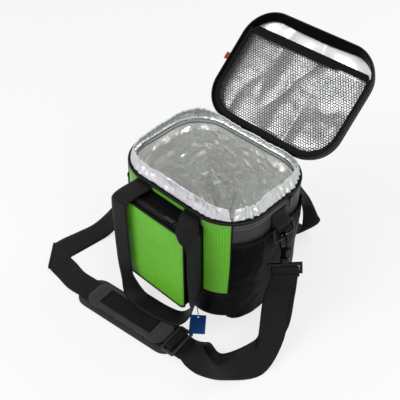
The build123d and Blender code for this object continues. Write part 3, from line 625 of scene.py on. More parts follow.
# %% Base band, turned under at the floor
band_profile = [(1.0 * MM, band_top + 1 * MM), (1.4 * MM, band_top - 1 * MM), (1.0 * MM, band_top - 4 * MM)]
band_profile += [(0.6 * MM, z) for z in steps(band_top - 9 * MM, 12 * MM, 16)]
turned_r = 10 * MM
band_profile += [(turned_r * (cos(a) - 1) + 0.6 * MM, turned_r * (1 - sin(a)) + 0.6 * MM)
                 for a in steps(0.2, pi / 2, 5)]
band_rows = wall_rows(around(256), reversed(band_profile))
base_band = dress(cloth("base_band_cloth", band_rows, 1.2 * MM, closed=True), black_oxford)
fit(base_band, "carrier", "charcoal_shell", "base_band")

# %% Bottom panel
bottom_rows = [[wall_at(t, 0.6 * MM, -9 * MM) * s + Vector((0, 0, 0.4 * MM)) for t in around(128)]
               for s in (1.0, 0.8, 0.6, 0.4, 0.2, 0.02)]
bottom = dress(cloth("bottom_panel", bottom_rows, 1.0 * MM, closed=True, offset=1.0), black_oxford)
fit(bottom, "carrier", "charcoal_shell", "base_panel")

# %% [markdown]
# ### Seams
# A bag is read by its seams. The four corners have a piped seam and a row of stitches each side. Under the
# zip tape run two lines of grey thread. The stitches are small capsules of real mesh, so they survive export.

# %% Piped corner seams
for corner in range(4):
    line = [wall_at(corner, z, 0.6 * MM) for z in steps(band_top, wall_top - 1 * MM, 40)]
    seam = tube("corner_piping_%d" % corner, line, 1.3 * MM)
    fit(dress(seam, black_tape), "carrier", "black_binding")


# %% Stitch lines on the walls
def along_wall(first, last, z, out, count=240):
    """A path round the wall at one height, with its normals."""
    return [(wall_at(t, z, out), outline(t, bag_plan)[1]) for t in steps(first, last, count)]


rim_lines = [along_wall(turn, turn + 1, wall_top - z, 0.3 * MM)
             for z in (5 * MM, 11 * MM) for turn in range(4)]
rim_thread = thread("rim_stitches", rim_lines, radius=0.42 * MM)
fit(dress(rim_thread, pale_thread), "carrier", "charcoal_shell")
band_thread = thread("band_stitches", [along_wall(0, 4, band_top - 3.5 * MM, 1.5 * MM, 500)])
fit(dress(band_thread, dark_thread), "carrier", "charcoal_shell")

# %% [markdown]
# ### Side pockets
# Each side has a flat pocket of black cloth as wide as the side, with elastic at its mouth. The elastic
# gathers the cloth, so small folds run down from it and die out.

# %% Side pockets
pocket_gap = 5 * MM
gathered = 55 * MM       # how far the elastic's folds run down
elastic_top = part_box("right_pocket_elastic")[1].z
elastic_profile = ((0.2, 9.5), (0.9, 8.0), (1.0, 5.0), (0.9, 1.5), (0.1, 0.2), (-1.0, 1.5), (-1.2, 8.0))


def side_pocket_at(turn, z, out):
    """A point of a side pocket, gathered below its elastic."""
    across = turn % 1
    near_top = ease((z - (elastic_top - gathered)) / gathered)
    edge = min(across, 1 - across) / 0.06
    stand = pocket_gap * ease(edge)
    fold = 0.8 * MM * near_top * sin(across * 150 + 2.2 * sin(across * 31)) * ease(edge)
    belly = 2.5 * MM * sin(pi * across) ** 2 * sin(pi * min(z / elastic_top, 1.0))
    return wall_at(turn, z, stand + fold + belly + out, 0.9 * MM)


for name, turn in (("right", 1), ("left", 3)):
    turns = steps(turn + 0.001, turn + 0.999, 150)
    rows = [[side_pocket_at(t, z, 0.0) for t in turns] for z in steps(3 * MM, elastic_top - 8 * MM, 64)]
    pocket = dress(cloth(name + "_pocket_cloth", rows, 1.0 * MM), black_oxford)
    fit(pocket, "carrier", "black_fabric", name + "_side_pocket")
    rows = [[side_pocket_at(t, elastic_top - drop * MM, out * MM) for t in turns]
            for out, drop in elastic_profile]
    elastic = dress(cloth(name + "_pocket_elastic_band", rows, 0.8 * MM), black_elastic)
    fit(elastic, "carrier", "black_binding", name + "_pocket_elastic")

# %% [markdown]
# ### Rim: zip tape and coil
# The walls end in a woven tape that carries half of the zip. The coil is nylon wire sewn to the tape's edge.
# Its teeth are real mesh at a pitch of 2.4 mm, a little coarser than the real 1.6 mm, so that they show.

# %% Rim tape
rim_profile = [(-8.0 * MM, wall_top - 2 * MM)]
rim_profile += [(out * MM, rim_top - drop * MM) for out, drop in (
    (-8.0, 1.4), (-6.0, 0.8), (-3.0, 0.3), (-0.6, 0.1), (0.9, 0.8), (1.2, 2.0))]
rim_profile += [(0.9 * MM, wall_top + 0.2 * MM), (0.4 * MM, wall_top - 1.2 * MM)]
rim_rows = wall_rows(around(320), reversed(rim_profile), 0.0)
rim_tape = dress(cloth("rim_tape", rim_rows, 0.8 * MM, closed=True), zip_tape)
fit(rim_tape, "carrier", "zip_tape", "rim_zip_tape")


# %% Zip teeth
TOOTH_PITCH = 2.4 * MM
TOOTH_HALF = 1.5 * MM
TOOTH_R = 0.65 * MM
UP = Vector((0, 0, 1))


def teeth(name, path, up):
    """The coil of a zip: one small rounded bar for each tooth, lying across a path of (point, way across)."""
    run = lengths([p for p, _ in path])
    bars = []
    count = int(run[-1] / TOOTH_PITCH)
    for k in range(count):
        i, f = spot_on(run, (k + 0.5) * run[-1] / count)
        mid = path[i][0].lerp(path[i + 1][0], f)
        reach = path[i][1] * TOOTH_HALF
        bars.append([(mid - reach, up), (mid + reach, up)])
    return thread(name, bars, pitch=2 * TOOTH_HALF, fill=1.0, radius=TOOTH_R, lift=0.0)


rim_path = [(wall_at(t, rim_top - 0.9 * MM, 0.3 * MM, 0.0), outline(t, bag_plan)[1])
            for t in steps(0, 4, 700)]
rim_coil = teeth("rim_coil", rim_path, UP)
fit(dress(rim_coil, coil), "carrier", "zip_tape")
print("zip teeth on the rim:", len(rim_coil.data.vertices) // (STITCH_SIDES * len(STITCH_RINGS)))

# %% [markdown]
# ### Foil liner and collar
# Inside is a welded liner of aluminised film over foam, and it goes on above the zip as four loose flaps.
# Welded film keeps long horizontal folds and short creases. The folds are in the mesh, the creases in the
# material. Three flaps show the film's coated back outside, the right one its silver side. The flaps' silver
# faces and the liner's floor use darker copies of the film: painted shade.

# %% Liner
liner_in = -9.5 * MM


def crumple(p):
    """Height of crumpled film: rounded folds at three sizes, with crisp creases between them."""
    bend = noise.noise_vector(p * 14.0) * 0.012
    q = p + bend
    crease = max(0.0, 1 - abs(noise.noise(q * 26.0 + Vector((3, 1, 7)))) * 11.0)
    return (abs(noise.noise(q * 19.0)) * 8.5 + abs(noise.noise(q * 41.0)) * 5.0
            + abs(noise.noise(q * 95.0)) * 1.9 + crease * 1.4) * MM


def foil_at(turn, z, inset):
    """A point of the liner, with the folds of welded film."""
    spot = wall_at(turn, z, inset, 0.0)
    facing = outline(turn, bag_plan)[1]
    long_fold = abs(noise.noise(Vector((spot.x * 7, spot.y * 7, spot.z * 40)))) * 3.0 * MM
    held = 0.1 + 0.9 * ease((rim_top - 13 * MM - z) / (16 * MM))
    hung = crumple(Vector((spot.x, spot.y, spot.z * 0.8)))
    return spot - facing * held * (long_fold * 0.6 + hung)


liner_rows = [[foil_at(t, z, liner_in) for t in around(480)]
              for z in steps(16 * MM, wall_top + 2 * MM, 110)]
foot = [[foil_at(t, 16 * MM - 6 * MM * sin(a), liner_in - 6 * MM * (1 - cos(a)))
         for t in around(480)] for a in steps(pi / 2, 0.3, 3)]
floor_z = 10 * MM
tray = []
for s in steps(0.02, 0.97, 34):
    row = []
    for t in around(480):
        edge, _ = outline(t, bag_plan, liner_in - 8 * MM)
        spot = Vector((edge.x * s * 0.97, edge.y * s, floor_z))
        crossing = 5.0 * MM * max(0.0, 1 - abs(spot.x * 0.3 - spot.y + 0.02) / (12 * MM))
        rise = crumple(spot * 0.5) * 0.45 + crossing
        row.append(spot + Vector((0, 0, rise * min(1.0, 3 * (1 - s) + 0.4))))
    tray.append(row)
liner = cloth("foil_liner_film", tray + foot + liner_rows, 0.4 * MM, closed=True, offset=0.0, capped=True)
dress(liner, silver_film, floor_film_painted_shade)
# Faces near the floor take the darker film: painted shade on the liner's floor.
for face in liner.data.polygons:
    face.material_index = 1 if face.center.z < floor_z + 4 * MM else 0
fit(liner, "carrier", "foil", "foil_liner")

# %% Foam behind the liner
foam_rows = [[wall_at(t, z, -2.6 * MM, 0.0) for t in around(128)]
             for z in steps(9 * MM, wall_top - 2 * MM, 12)]
foam = dress(cloth("wall_foam_sheet", foam_rows, 5.5 * MM, closed=True), foam_white)
fit(foam, "carrier", "insulation", "wall_foam")
foam_z = 3 * MM
under_rows = [[wall_at(t, foam_z, -11 * MM) * s for t in around(96)]
              for s in (1.0, 0.7, 0.4, 0.03)]
for row in under_rows:
    for p in row:
        p.z = foam_z
under_foam = dress(cloth("base_foam_sheet", under_rows, 5.0 * MM, closed=True, offset=-1.0), foam_white)
fit(under_foam, "carrier", "insulation", "base_foam")

# %% Seams where the liner is welded to the wall
seam_paths = []
for z, inset in ((rim_top - 1 * MM, 3.4 * MM), (rim_top - 11 * MM, 1.4 * MM)):
    path = []
    for t in steps(0, 4, 500):
        spot = wall_at(t, min(z, wall_top), liner_in - inset, 0.0)
        spot.z = z
        path.append((spot, -outline(t, bag_plan)[1]))
    seam_paths.append(path)
liner_seams = thread("liner_seams", seam_paths, pitch=5 * MM, fill=0.92, radius=0.8 * MM)
fit(dress(liner_seams, dark_thread), "carrier", "foil")

# %% Collar flaps
collar_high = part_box("collar_back")[1].z
leans = {"front": 3.5 * MM, "right": 4.0 * MM, "back": 8.0 * MM, "left": 3.0 * MM}
gathers = {"front": 2.0 * MM, "right": 5.6 * MM, "back": 0.9 * MM, "left": 0.8 * MM}
pulls = {"front": 4.6 * MM, "right": 5.4 * MM, "back": 2.0 * MM, "left": 2.0 * MM}
slits = (0.008, 0.026, 0.008, 0.0)
for turn, side in enumerate(leans):
    rows = []
    for z in steps(wall_top - 1 * MM, collar_high, 26):
        up = (z - wall_top) / (collar_high - wall_top)
        row = []
        for t in steps(turn + slits[turn] * up + 0.002, turn + 1 - slits[(turn + 1) % 4] * up - 0.002, 190):
            share = t % 1
            facing = outline(t, bag_plan)[1]
            spot = wall_at(t, min(z, wall_top), -9.6 * MM, 0.0)
            spot.z = z
            end = (1 - sin(pi * share)) ** 3
            foot = 6.4 * MM * ease(up / 0.22) * (1 - max(0.0, up - 0.22) / 0.78)
            lean = leans[side] * ease(up) * abs(sin(pi * share)) ** 0.5 - 3.0 * MM * end * up - foot
            along = share * (2 * half_w if turn % 2 == 0 else 2 * half_d) / MM
            grip = max(0.0, noise.noise(spot * 16.0) + 0.35)
            folds = sin(along / 2.6 + 5 * noise.noise(spot * 22.0))
            pleat = gathers[side] * grip * folds * (0.35 + 0.65 * up)
            wave = 3.0 * MM * up * noise.noise(Vector((spot.x, spot.y, 0.3 * turn)) * 24.0)
            small = abs(noise.noise(spot * 36.0)) + 0.4 * abs(noise.noise(spot * 90.0))
            pucker = pulls[side] * (0.3 + up) * small
            dip = 5.0 * MM * up * abs(noise.noise(Vector((spot.x, spot.y, 7)) * 15.0)) - 1.5 * MM * end * up
            row.append(spot - facing * (lean + wave + pucker + pleat) - Vector((0, 0, dip)))
        rows.append(row)
    # The right flap's outside and every flap's inside are silver, in the darker copy of the film: painted
    # shade.
    outer_face = collar_film_painted_shade if side == "right" else coated_back
    flap = dress(cloth(side + "_collar_flap", rows, 2.4 * MM), outer_face, collar_film_painted_shade)
    flap.modifiers["thickness"].material_offset = 1
    flap.modifiers["thickness"].material_offset_rim = 1
    applied(flap)
    fit(flap, "carrier", "foil", "collar_" + side)
    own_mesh(flap)
print("collar stands above the zip, mm:", round((collar_high - rim_top) / MM, 1))

# %% [markdown]
# ## Front pocket
# A pouch with a face panel, a gusset all round and a zip on top. A box would show five plates. Here one
# grid follows the rounded outline from the wall to the face, drawn in where nothing holds it, and the face
# is crowned and creased. Black piping covers the seam between them.

# %% Pocket sizes and outline
face_low, face_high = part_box("front_pocket_face")
pocket_half = face_high.x
pocket_mid_z = (face_low.z + face_high.z) / 2
pocket_r = 14 * MM
pocket_plan = (pocket_half, (face_high.z - face_low.z) / 2, pocket_r)
face_y = face_low.y
wall_y = -half_d


def pocket_at(turn, y, out=0.0, soft=1.0):
    """A point of the pocket's rim line at a depth y, out from its outline."""
    flat, facing = outline(turn, pocket_plan, out)
    spot = Vector((flat.x, y, pocket_mid_z + flat.y))
    normal = Vector((facing.x, 0, facing.y))
    mid = sin(pi * min(max((wall_y - y) / (wall_y - face_y), 0.0), 1.0))
    draw = 3.0 * MM * mid * sin(pi * (turn % 1)) * (0.3 if int(turn) % 4 == 2 else 1.0)
    return spot - normal * soft * (draw + slack(spot, 26 * MM, 1.2 * MM) * mid)


# %% Gusset
gusset_rows = [[pocket_at(t, y) for t in around(220)]
               for y in steps(wall_y + 1 * MM, face_y + 1 * MM, 18)]
gusset = dress(cloth("pocket_gusset_cloth", gusset_rows, 1.0 * MM, closed=True), black_oxford)
fit(gusset, "carrier", "black_fabric", "front_pocket_gusset")

# %% Face panel
face_rows = []
for s in [0.02] + steps(0.08, 1.0, 22):
    row = []
    for t in around(220):
        flat, _ = outline(t, pocket_plan)
        spot = Vector((flat.x * s, face_y, pocket_mid_z + flat.y * s))
        crown = 3.0 * MM * (1 - s ** 4)
        crease = slack(spot, 46 * MM, 1.7 * MM) + slack(spot, 15 * MM, 0.6 * MM)
        spot.y += 1.2 * MM - crown - crease * (1 - s ** 6)
        row.append(spot)
    face_rows.append(row)
face = cloth("pocket_face_cloth", face_rows, 1.0 * MM, closed=True, capped=True)
flat_uvs(face, lambda p: (p.x, p.z))
fit(dress(face, green_ripstop), "carrier", "green_shell", "front_pocket_face")

# %% Piping and its stitches
piping_line = [pocket_at(t, face_y + 0.6 * MM, 0.2 * MM, 0.0) for t in around(200)]
piping = dress(tube("pocket_piping", piping_line, 1.9 * MM, closed=True), black_tape)
fit(piping, "carrier", "black_binding", "front_pocket_piping")
inner_plan = (pocket_plan[0] - 4 * MM, pocket_plan[1] - 4 * MM, 11 * MM)
stitch_path = []
for t in steps(0, 4, 300):
    flat, _ = outline(t, inner_plan)
    stitch_path.append((Vector((flat.x, face_y - 0.2 * MM, pocket_mid_z + flat.y)), Vector((0, -1, 0))))
face_thread = thread("pocket_face_stitches", [stitch_path], radius=0.28 * MM)
fit(dress(face_thread, dark_thread), "carrier", "green_shell")

# %% Pocket zip on top
zip_low, zip_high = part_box("front_pocket_zip")
zip_mid_y = (zip_low.y + zip_high.y) / 2
zip_line = [Vector((x, zip_mid_y, zip_low.z + 0.4 * MM)) for x in steps(zip_low.x, zip_high.x, 60)]
zip_rows = [[p + Vector((0, y, 0.5 * MM * (1 - (y / (7 * MM)) ** 2))) for p in zip_line]
            for y in steps(-7 * MM, 7 * MM, 6)]
pocket_zip = dress(cloth("pocket_zip_tape", zip_rows, 0.6 * MM, offset=1.0), zip_tape)
fit(pocket_zip, "carrier", "zip_tape", "front_pocket_zip")
zip_path = [(p + UP * (0.7 * MM), Vector((0, 1, 0))) for p in zip_line]
zip_coil = teeth("pocket_zip_coil", zip_path, UP)
fit(dress(zip_coil, coil), "carrier", "zip_tape")
print("pocket, mm:", round(2 * pocket_half / MM), round((wall_y - face_y) / MM))

# %% [markdown]
# ## Lid
# The lid is a shallow tray of cloth over foam, lined with film, hinged along the back. It is built in its own
# closed plane, as it would be sewn, and each point is then carried to where the open lid stands.

# %% The lid's own frame
lid_open = 138.0
lid_angle = radians(lid_open)
lid_out = Vector((0, -cos(lid_angle), sin(lid_angle)))
lid_up = Vector((0, sin(lid_angle), cos(lid_angle)))
hinge = Vector((0, half_d + 1 * MM, rim_top))
lid_centre = hinge + lid_out * hinge.y
lid_r = 64 * MM
lid_plan = (half_w - 4 * MM, half_d - 1 * MM, lid_r)
lid_h = 27 * MM


def on_lid(x, y, z):
    """A point of the lid from its own plane: y towards the hinge, z up when it is shut."""
    return lid_centre + Vector((x, 0, 0)) - lid_out * y + lid_up * z


def lid_ring(out, z, count=260, soft=0.0, plan=lid_plan):
    """A ring of points that follows an outline in the lid's plane."""
    ring = []
    for t in around(count):
        flat, facing = outline(t, plan, out)
        sag = soft * noise.noise(Vector((flat.x, flat.y, z)) * 24.0)
        ring.append(on_lid(flat.x + facing.x * sag, flat.y + facing.y * sag, z))
    return ring


def lid_panel(out, z, crown, ripple, size):
    """Rings from the middle out to an edge, crowned and rippled."""
    rings = []
    for s in [0.015] + steps(0.07, 1.0, 16):
        ring = []
        for t in around(260):
            flat, _ = outline(t, lid_plan, out)
            flat = flat * s
            lift = crown * (1 - s ** 3) + ripple * noise.noise(flat / size)
            ring.append(on_lid(flat.x, flat.y, z + lift * min(1.0, 6 * (1 - s))))
        rings.append(ring)
    return rings


# %% Skirt: a soft padded border
skirt_profile = [(-2.0, 22.0), (-2.6, 15.0), (-2.8, 8.0), (-2.4, 2.4), (-1.6, 1.0), (-0.6, 0.7), (0.2, 1.4),
                 (0.5, 4.0), (0.6, 9.0), (0.5, 13.0), (-0.2, 17.5), (-1.2, 21.0), (-2.6, 24.0), (-4.6, 25.8)]
skirt_rows = [lid_ring(out * MM, z * MM, soft=0.9 * MM) for out, z in skirt_profile]
skirt = dress(cloth("lid_skirt_cloth", skirt_rows, 0.7 * MM, closed=True, offset=0.0), black_oxford)
fit(skirt, "lid", "charcoal_shell", "lid_skirt")

# %% Top panel and its piping
top_rows = lid_panel(-4.4 * MM, lid_h - 1.2 * MM, 1.2 * MM, 1.4 * MM, 55 * MM)
top = cloth("lid_top_cloth", top_rows, 1.0 * MM, closed=True, offset=1.0, capped=True)
flat_uvs(top, lambda p: (p.x, (p - lid_centre).dot(lid_out)))
fit(dress(top, green_ripstop), "lid", "green_shell", "lid_top")
top_piping = dress(tube("lid_top_piping", lid_ring(-3.6 * MM, lid_h - 1.4 * MM, 220), 1.5 * MM, closed=True),
                   black_tape)
fit(top_piping, "lid", "black_binding")

# %% Foam and film under the top
foam_ring = [lid_ring(out * MM, z * MM, 96) for out, z in ((-60.0, 23.9), (-3.4, 23.9))]
lid_foam = cloth("lid_foam_sheet", foam_ring, 2.4 * MM, closed=True, offset=0.0, capped=True)
fit(dress(lid_foam, foam_white), "lid", "insulation", "lid_foam")
film_rows = []
for s in [0.015] + steps(0.05, 1.0, 44):
    ring = []
    for t in around(360):
        flat, _ = outline(t, lid_plan, -2.2 * MM)
        flat = flat * s
        drift = flat + noise.noise_vector(flat * 16.0) * 0.012
        fold = abs(noise.noise(Vector((drift.x * 15.0, drift.y * 5.0, 2.0)))) * 10.0 * MM
        crisp = noise.noise(Vector((drift.x, drift.y, 5.0)) * 30.0) * 1.2 * MM
        ring.append(on_lid(flat.x, flat.y, 21.4 * MM - (fold + crisp) * min(1.0, 6 * (1 - s))))
    film_rows.append(ring)
film = dress(cloth("lid_film", film_rows, 0.3 * MM, closed=True, offset=0.0, capped=True), lid_film)
fit(film, "lid", "foil", "lid_foil")

# %% Facing inside the lid's front, deepest in the middle
facing_rows = []
for rise in steps(0, 1, 8):
    row = []
    for t in steps(-0.12, 1.12, 160):
        bay = abs(sin(pi * (t + 0.12) / 1.24)) ** 0.8
        flat, _ = outline(t % 4, lid_plan, -(2.8 + 12.5 * bay * rise ** 1.3) * MM)
        ripple = 0.5 * MM * noise.noise(Vector((t * 9, rise * 2, 1)))
        row.append(on_lid(flat.x, flat.y, (2.0 + 15.0 * rise) * MM + ripple))
    facing_rows.append(row)
front_facing = dress(cloth("lid_front_facing", facing_rows, 0.8 * MM, offset=0.0), black_oxford)
fit(front_facing, "lid", "charcoal_shell")
fit(dress(tube("lid_facing_hem", facing_rows[-1], 0.9 * MM), black_tape), "lid", "black_binding")

# %% Zip tape round the edge
tape_rows = [lid_ring(out * MM, z * MM, 300) for out, z in (
    (0.5, 0.9), (1.2, 1.1), (1.5, 2.4), (1.5, 5.0), (1.3, 7.6), (0.6, 8.0))]
lid_tape = dress(cloth("lid_zip_tape_band", tape_rows, 0.5 * MM, closed=True, offset=0.0), zip_tape)
fit(lid_tape, "lid", "zip_tape", "lid_zip_tape")
coil_path = []
for t in steps(2.86, 6.14, 560):
    flat, facing = outline(t % 4, lid_plan, 0.4 * MM)
    way = (on_lid(facing.x, facing.y, 0) - lid_centre).normalized()
    coil_path.append((on_lid(flat.x, flat.y, 0.9 * MM), way))
lid_coil = teeth("lid_coil", coil_path, -lid_up)
fit(dress(lid_coil, coil), "lid", "zip_tape")


# %% Stitch lines on the skirt
def lid_path(out, z):
    """A stitching path round the lid with normals."""
    path = []
    for t in steps(0, 4, 420):
        flat, facing = outline(t % 4, lid_plan, out)
        way = (on_lid(facing.x, facing.y, 0) - lid_centre).normalized()
        path.append((on_lid(flat.x, flat.y, z), way))
    return path


skirt_thread = thread("lid_skirt_stitches", [lid_path(1.1 * MM, 11 * MM), lid_path(-3.2 * MM, 17 * MM)],
                      radius=0.35 * MM)
fit(dress(skirt_thread, pale_thread), "lid", "charcoal_shell")
print("lid, mm:", round(2 * lid_plan[0] / MM), round(2 * lid_plan[1] / MM), round(lid_h / MM))

# %% [markdown]
# ### Mesh pocket in the lid
# The net is knitted, with holes of about 4 mm. A see-through material would look thin at the edges and be
# lost in other viewers, so the net is real geometry: a honeycomb of cells turned to wire by one modifier.

# %% Honeycomb net
net_half_w = lid_plan[0] - 7 * MM
net_half_d = lid_plan[1] - 11 * MM
net_r = 58 * MM
net_plan = (net_half_w, net_half_d, net_r)
band_front = -lid_plan[1] + 38 * MM
band_back = band_front + 17 * MM
net_z = 9.0 * MM
cell = 5.8 * MM


def inside_net(x, y, margin):
    """True if a point of the lid's plane lies in the mesh pocket's outline."""
    dx = abs(x) - (net_half_w - net_r)
    dy = abs(y) - (net_half_d - net_r)
    if dx > 0 and dy > 0:
        return (dx * dx + dy * dy) ** 0.5 < net_r - margin
    return abs(x) < net_half_w - margin and abs(y) < net_half_d - margin


def net_point(x, y):
    """A point of the net, slack between its edges."""
    sag = 2.2 * MM * noise.noise(Vector((x, y, 0)) / (48 * MM)) + 0.9 * MM * sin(x / (9 * MM))
    edge = min((net_half_w - abs(x)), (net_half_d - abs(y)), y - band_front) / (18 * MM)
    return on_lid(x, y, net_z + sag * ease(edge) * 0.6 + 0.8 * MM)


net_points, net_faces, net_index = [], [], {}
row_step = cell * 0.75
for i in range(int((net_half_d - band_back) / row_step)):
    y = band_back + i * row_step
    for j in range(-int(net_half_w / cell) - 1, int(net_half_w / cell) + 2):
        x = (j + 0.5 * (i % 2)) * cell
        if not inside_net(x, y, 1.0 * MM):
            continue
        ring = []
        for dx, dy in ((0, -0.5), (0.5, -0.25), (0.5, 0.25), (0, 0.5), (-0.5, 0.25), (-0.5, -0.25)):
            at = (round((x + dx * cell) / MM, 2), round((y + dy * cell) / MM, 2))
            if at not in net_index:
                net_index[at] = len(net_points)
                net_points.append(net_point(at[0] * MM, at[1] * MM))
            ring.append(net_index[at])
        net_faces.append(ring)
net = shape("lid_net", net_points, net_faces, smooth=False)
wire = net.modifiers.new("wire", "WIREFRAME")
wire.thickness = 1.6 * MM
wire.use_even_offset = False
net_yarn = moulded("black_polyester_yarn", "#151517", 0.7, 0.1 * MM)
fit(dress(net, net_yarn), "lid", "black_mesh", "lid_mesh_pocket")
print("cells in the net:", len(net_faces))

# %% Binding round the net, and the elastic at its mouth
bind_rows = [lid_ring(-2.6 * MM, net_z - 3.2 * MM, 300), lid_ring(-3.6 * MM, net_z - 1.9 * MM, 300)]
bind_rows += [lid_ring(out * MM, net_z + z * MM, 300, plan=net_plan) for out, z in (
    (1.0, -0.8), (-0.8, -1.0), (-3.0, -0.8), (-3.6, 0.1))]
bind = cloth("net_binding", bind_rows, 0.5 * MM, closed=True, offset=0.0)
cut = bmesh.new()
cut.from_mesh(bind.data)
front_of_band = [v for v in cut.verts if (v.co - lid_centre).dot(-lid_out) < band_front + 2 * MM]
bmesh.ops.delete(cut, geom=front_of_band, context="VERTS")
cut.to_mesh(bind.data)
cut.free()
fit(dress(bind, black_tape), "lid", "black_binding")
elastic_rows = []
for share in steps(0, 1, 14):
    y = band_front + share * (band_back - band_front)
    corner = max(0.0, abs(y) - (net_half_d - net_r))
    reach = net_half_w - net_r + (net_r ** 2 - corner ** 2) ** 0.5
    row = []
    for x in steps(-reach, reach, 260):
        gather = 0.55 * MM * sin(x / (1.35 * MM)) * (0.5 + noise.noise(Vector((x * 40, y * 60, 0))))
        lip = 1.2 * MM * sin(pi * share)
        folded = 4.5 * MM * share * ease((x - 62 * MM) / (5 * MM))
        row.append(on_lid(x, y - folded, net_z + 0.2 * MM - 0.3 * lip + gather))
    elastic_rows.append(row)
band = dress(cloth("net_elastic", elastic_rows, 0.9 * MM, offset=0.0), black_elastic)
fit(band, "lid", "black_binding", "lid_pocket_elastic")

# %% Hinge cloth from the back wall to the lid, and the blank side tag
hinge_half = half_w - 82 * MM
hinge_profile = [Vector((0, half_d + 0.7 * MM, z)) for z in steps(wall_top - 13 * MM, rim_top - 3 * MM, 6)]
hinge_profile += [Vector((0, half_d + out, rim_top - 1 * MM)) for out in (1.6 * MM, 2.4 * MM)]
hinge_profile += [hinge + lid_up * z + lid_out * -0.4 * MM for z in steps(2.5 * MM, 8 * MM, 5)]
hinge_rows = [[p + Vector((x, 0, 0)) for x in steps(-hinge_half, hinge_half, 40)] for p in hinge_profile]
hinge_cloth = dress(cloth("hinge_cloth", hinge_rows, 0.8 * MM, offset=0.0), black_tape)
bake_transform(hinge_cloth)
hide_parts("lid_hinge_web")
tag_y = 4 * MM
tag_rows = []
for a in steps(0, pi, 8):
    row = []
    for y in steps(-7 * MM, 7 * MM, 6):
        reach = lid_plan[0] + 0.8 * MM + 10.5 * MM * sin(a / 2) ** 2 if a < pi else lid_plan[0] + 12 * MM
        row.append(on_lid(-reach, tag_y + y, 4.3 * MM - 0.5 * MM * cos(a)))
    tag_rows.append(row)
side_tag = dress(cloth("side_tag_tape", tag_rows, 0.8 * MM, offset=0.0), red_tape)
fit(side_tag, "lid", "red_label", "lid_side_tag")

# %% [markdown]
# ## Straps, handles and pad
# Webbing bends easily across its length and hardly at all across its width, so it is modelled directly: each
# band runs through stations that give both ends of its width. A simulation would round it off. The weave is
# ribbed across the band every 3.6 mm.

# %% Hand straps
strap_slot = "webbing"
hand_w = 40.0
front_stub_y = -117.3


def across(x, y, z):
    """A station whose width runs along X, in mm."""
    return ((x - hand_w / 2, y, z), (x + hand_w / 2, y, z))


front_loop = [
    across(-60, -164, 243), across(-61, -172, 238), across(-62, -175, 221), across(-61, -176, 142),
    ((-77, -178, 80), (-38, -177, 82)), ((-68, -181, 42), (-35, -175, 62)),
    ((-48, -193, 19), (-20, -168, 32)), ((-10, -199, 18), (-5, -160, 18)), ((35, -194, 18), (38, -155, 19)),
    ((80, -178, 22), (62, -144, 19)), ((98, -162, 54), (78, -129, 44)), ((98, -167, 92), (89, -129, 96)),
    ((95, -168, 150), (90, -129, 150)), ((95, -170, 216), (93, -131, 216)),
    ((82, -174, 237), (98, -138, 235)), ((63, -163, 243), (94, -138, 241))]
left_stub = [across(-59, front_stub_y, 242), across(-59, front_stub_y - 14, 243), across(-60, -157, 243)]
right_stub = [((61, -157, 243.5), (92, -134, 243)), ((44, -132, 243), (83, -125, 243)),
              across(59, front_stub_y, 242)]
front_strap = dress(webbing("front_hand_strap", left_stub + front_loop[1:] + right_stub), black_webbing)
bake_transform(front_strap)
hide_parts("front_handle", "front_handle_ends")

back_y = 117.3
back_right = [
    across(71, back_y + 1, 210), across(76, back_y + 18, 176), across(83, back_y + 52, 120),
    ((69, back_y + 76, 66), (108, back_y + 80, 60)), ((78, back_y + 72, 32), (111, back_y + 88, 44)),
    ((83, back_y + 60, 13), (106, back_y + 88, 29)), ((77, back_y + 51, 4), (93, back_y + 88, 13)),
    ((60, back_y + 47, 2), (68, back_y + 86, 4)), ((30, back_y + 47, 2), (33, back_y + 87, 2))]
back_left = [((-a[0], a[1], a[2]), (-b[0], b[1], b[2])) for a, b in reversed(back_right)]
back_middle = [((0, back_y + 50, 2), (0, back_y + 90, 2))]
back_strap = dress(webbing("back_hand_strap", back_right + back_middle + back_left), black_webbing)
fit(back_strap, "back_handle_loop", strap_slot, "back_handle")


# %% Box-and-cross stitching where a strap is sewn on
def box_cross(corner, right, down, normal, inset=0.12):
    """Paths for a stitched rectangle with a cross in it."""
    spots = [corner + right * a + down * b for a, b in (
        (inset, inset), (1 - inset, inset), (1 - inset, 1 - inset), (inset, 1 - inset))]
    pairs = ((0, 1), (1, 2), (2, 3), (3, 0), (0, 2), (1, 3))
    return [[(spots[a], normal), (spots[b], normal)] for a, b in pairs]


anchor_bands, anchor_paths = [], []
for x in (-59.0, 59.0):
    wall_out = half_d / MM + 1.9
    anchor_bands.append([across(x, -wall_out, z) for z in (235.5, 241, 245.3)])
    anchor_bands.append([across(x, wall_out - dip, z) for dip, z in ((0.4, 201.5), (0, 212), (0.4, 222.3))])
    anchor_paths += box_cross(Vector((x - 20, wall_out + 1.1, 222)) * MM, Vector((40, 0, 0)) * MM,
                              Vector((0, 0, -20)) * MM, Vector((0, 1, 0)))
for number, stations in enumerate(anchor_bands):
    patch = dress(webbing("handle_anchor_%d" % number, stations, each=3), black_webbing)
    fit(patch, "carrier", strap_slot, *(["handle_anchors"] if number == 0 else []))
anchor_thread = dress(thread("handle_anchor_stitches", anchor_paths, pitch=3 * MM), dark_thread)
fit(anchor_thread, "carrier", strap_slot)

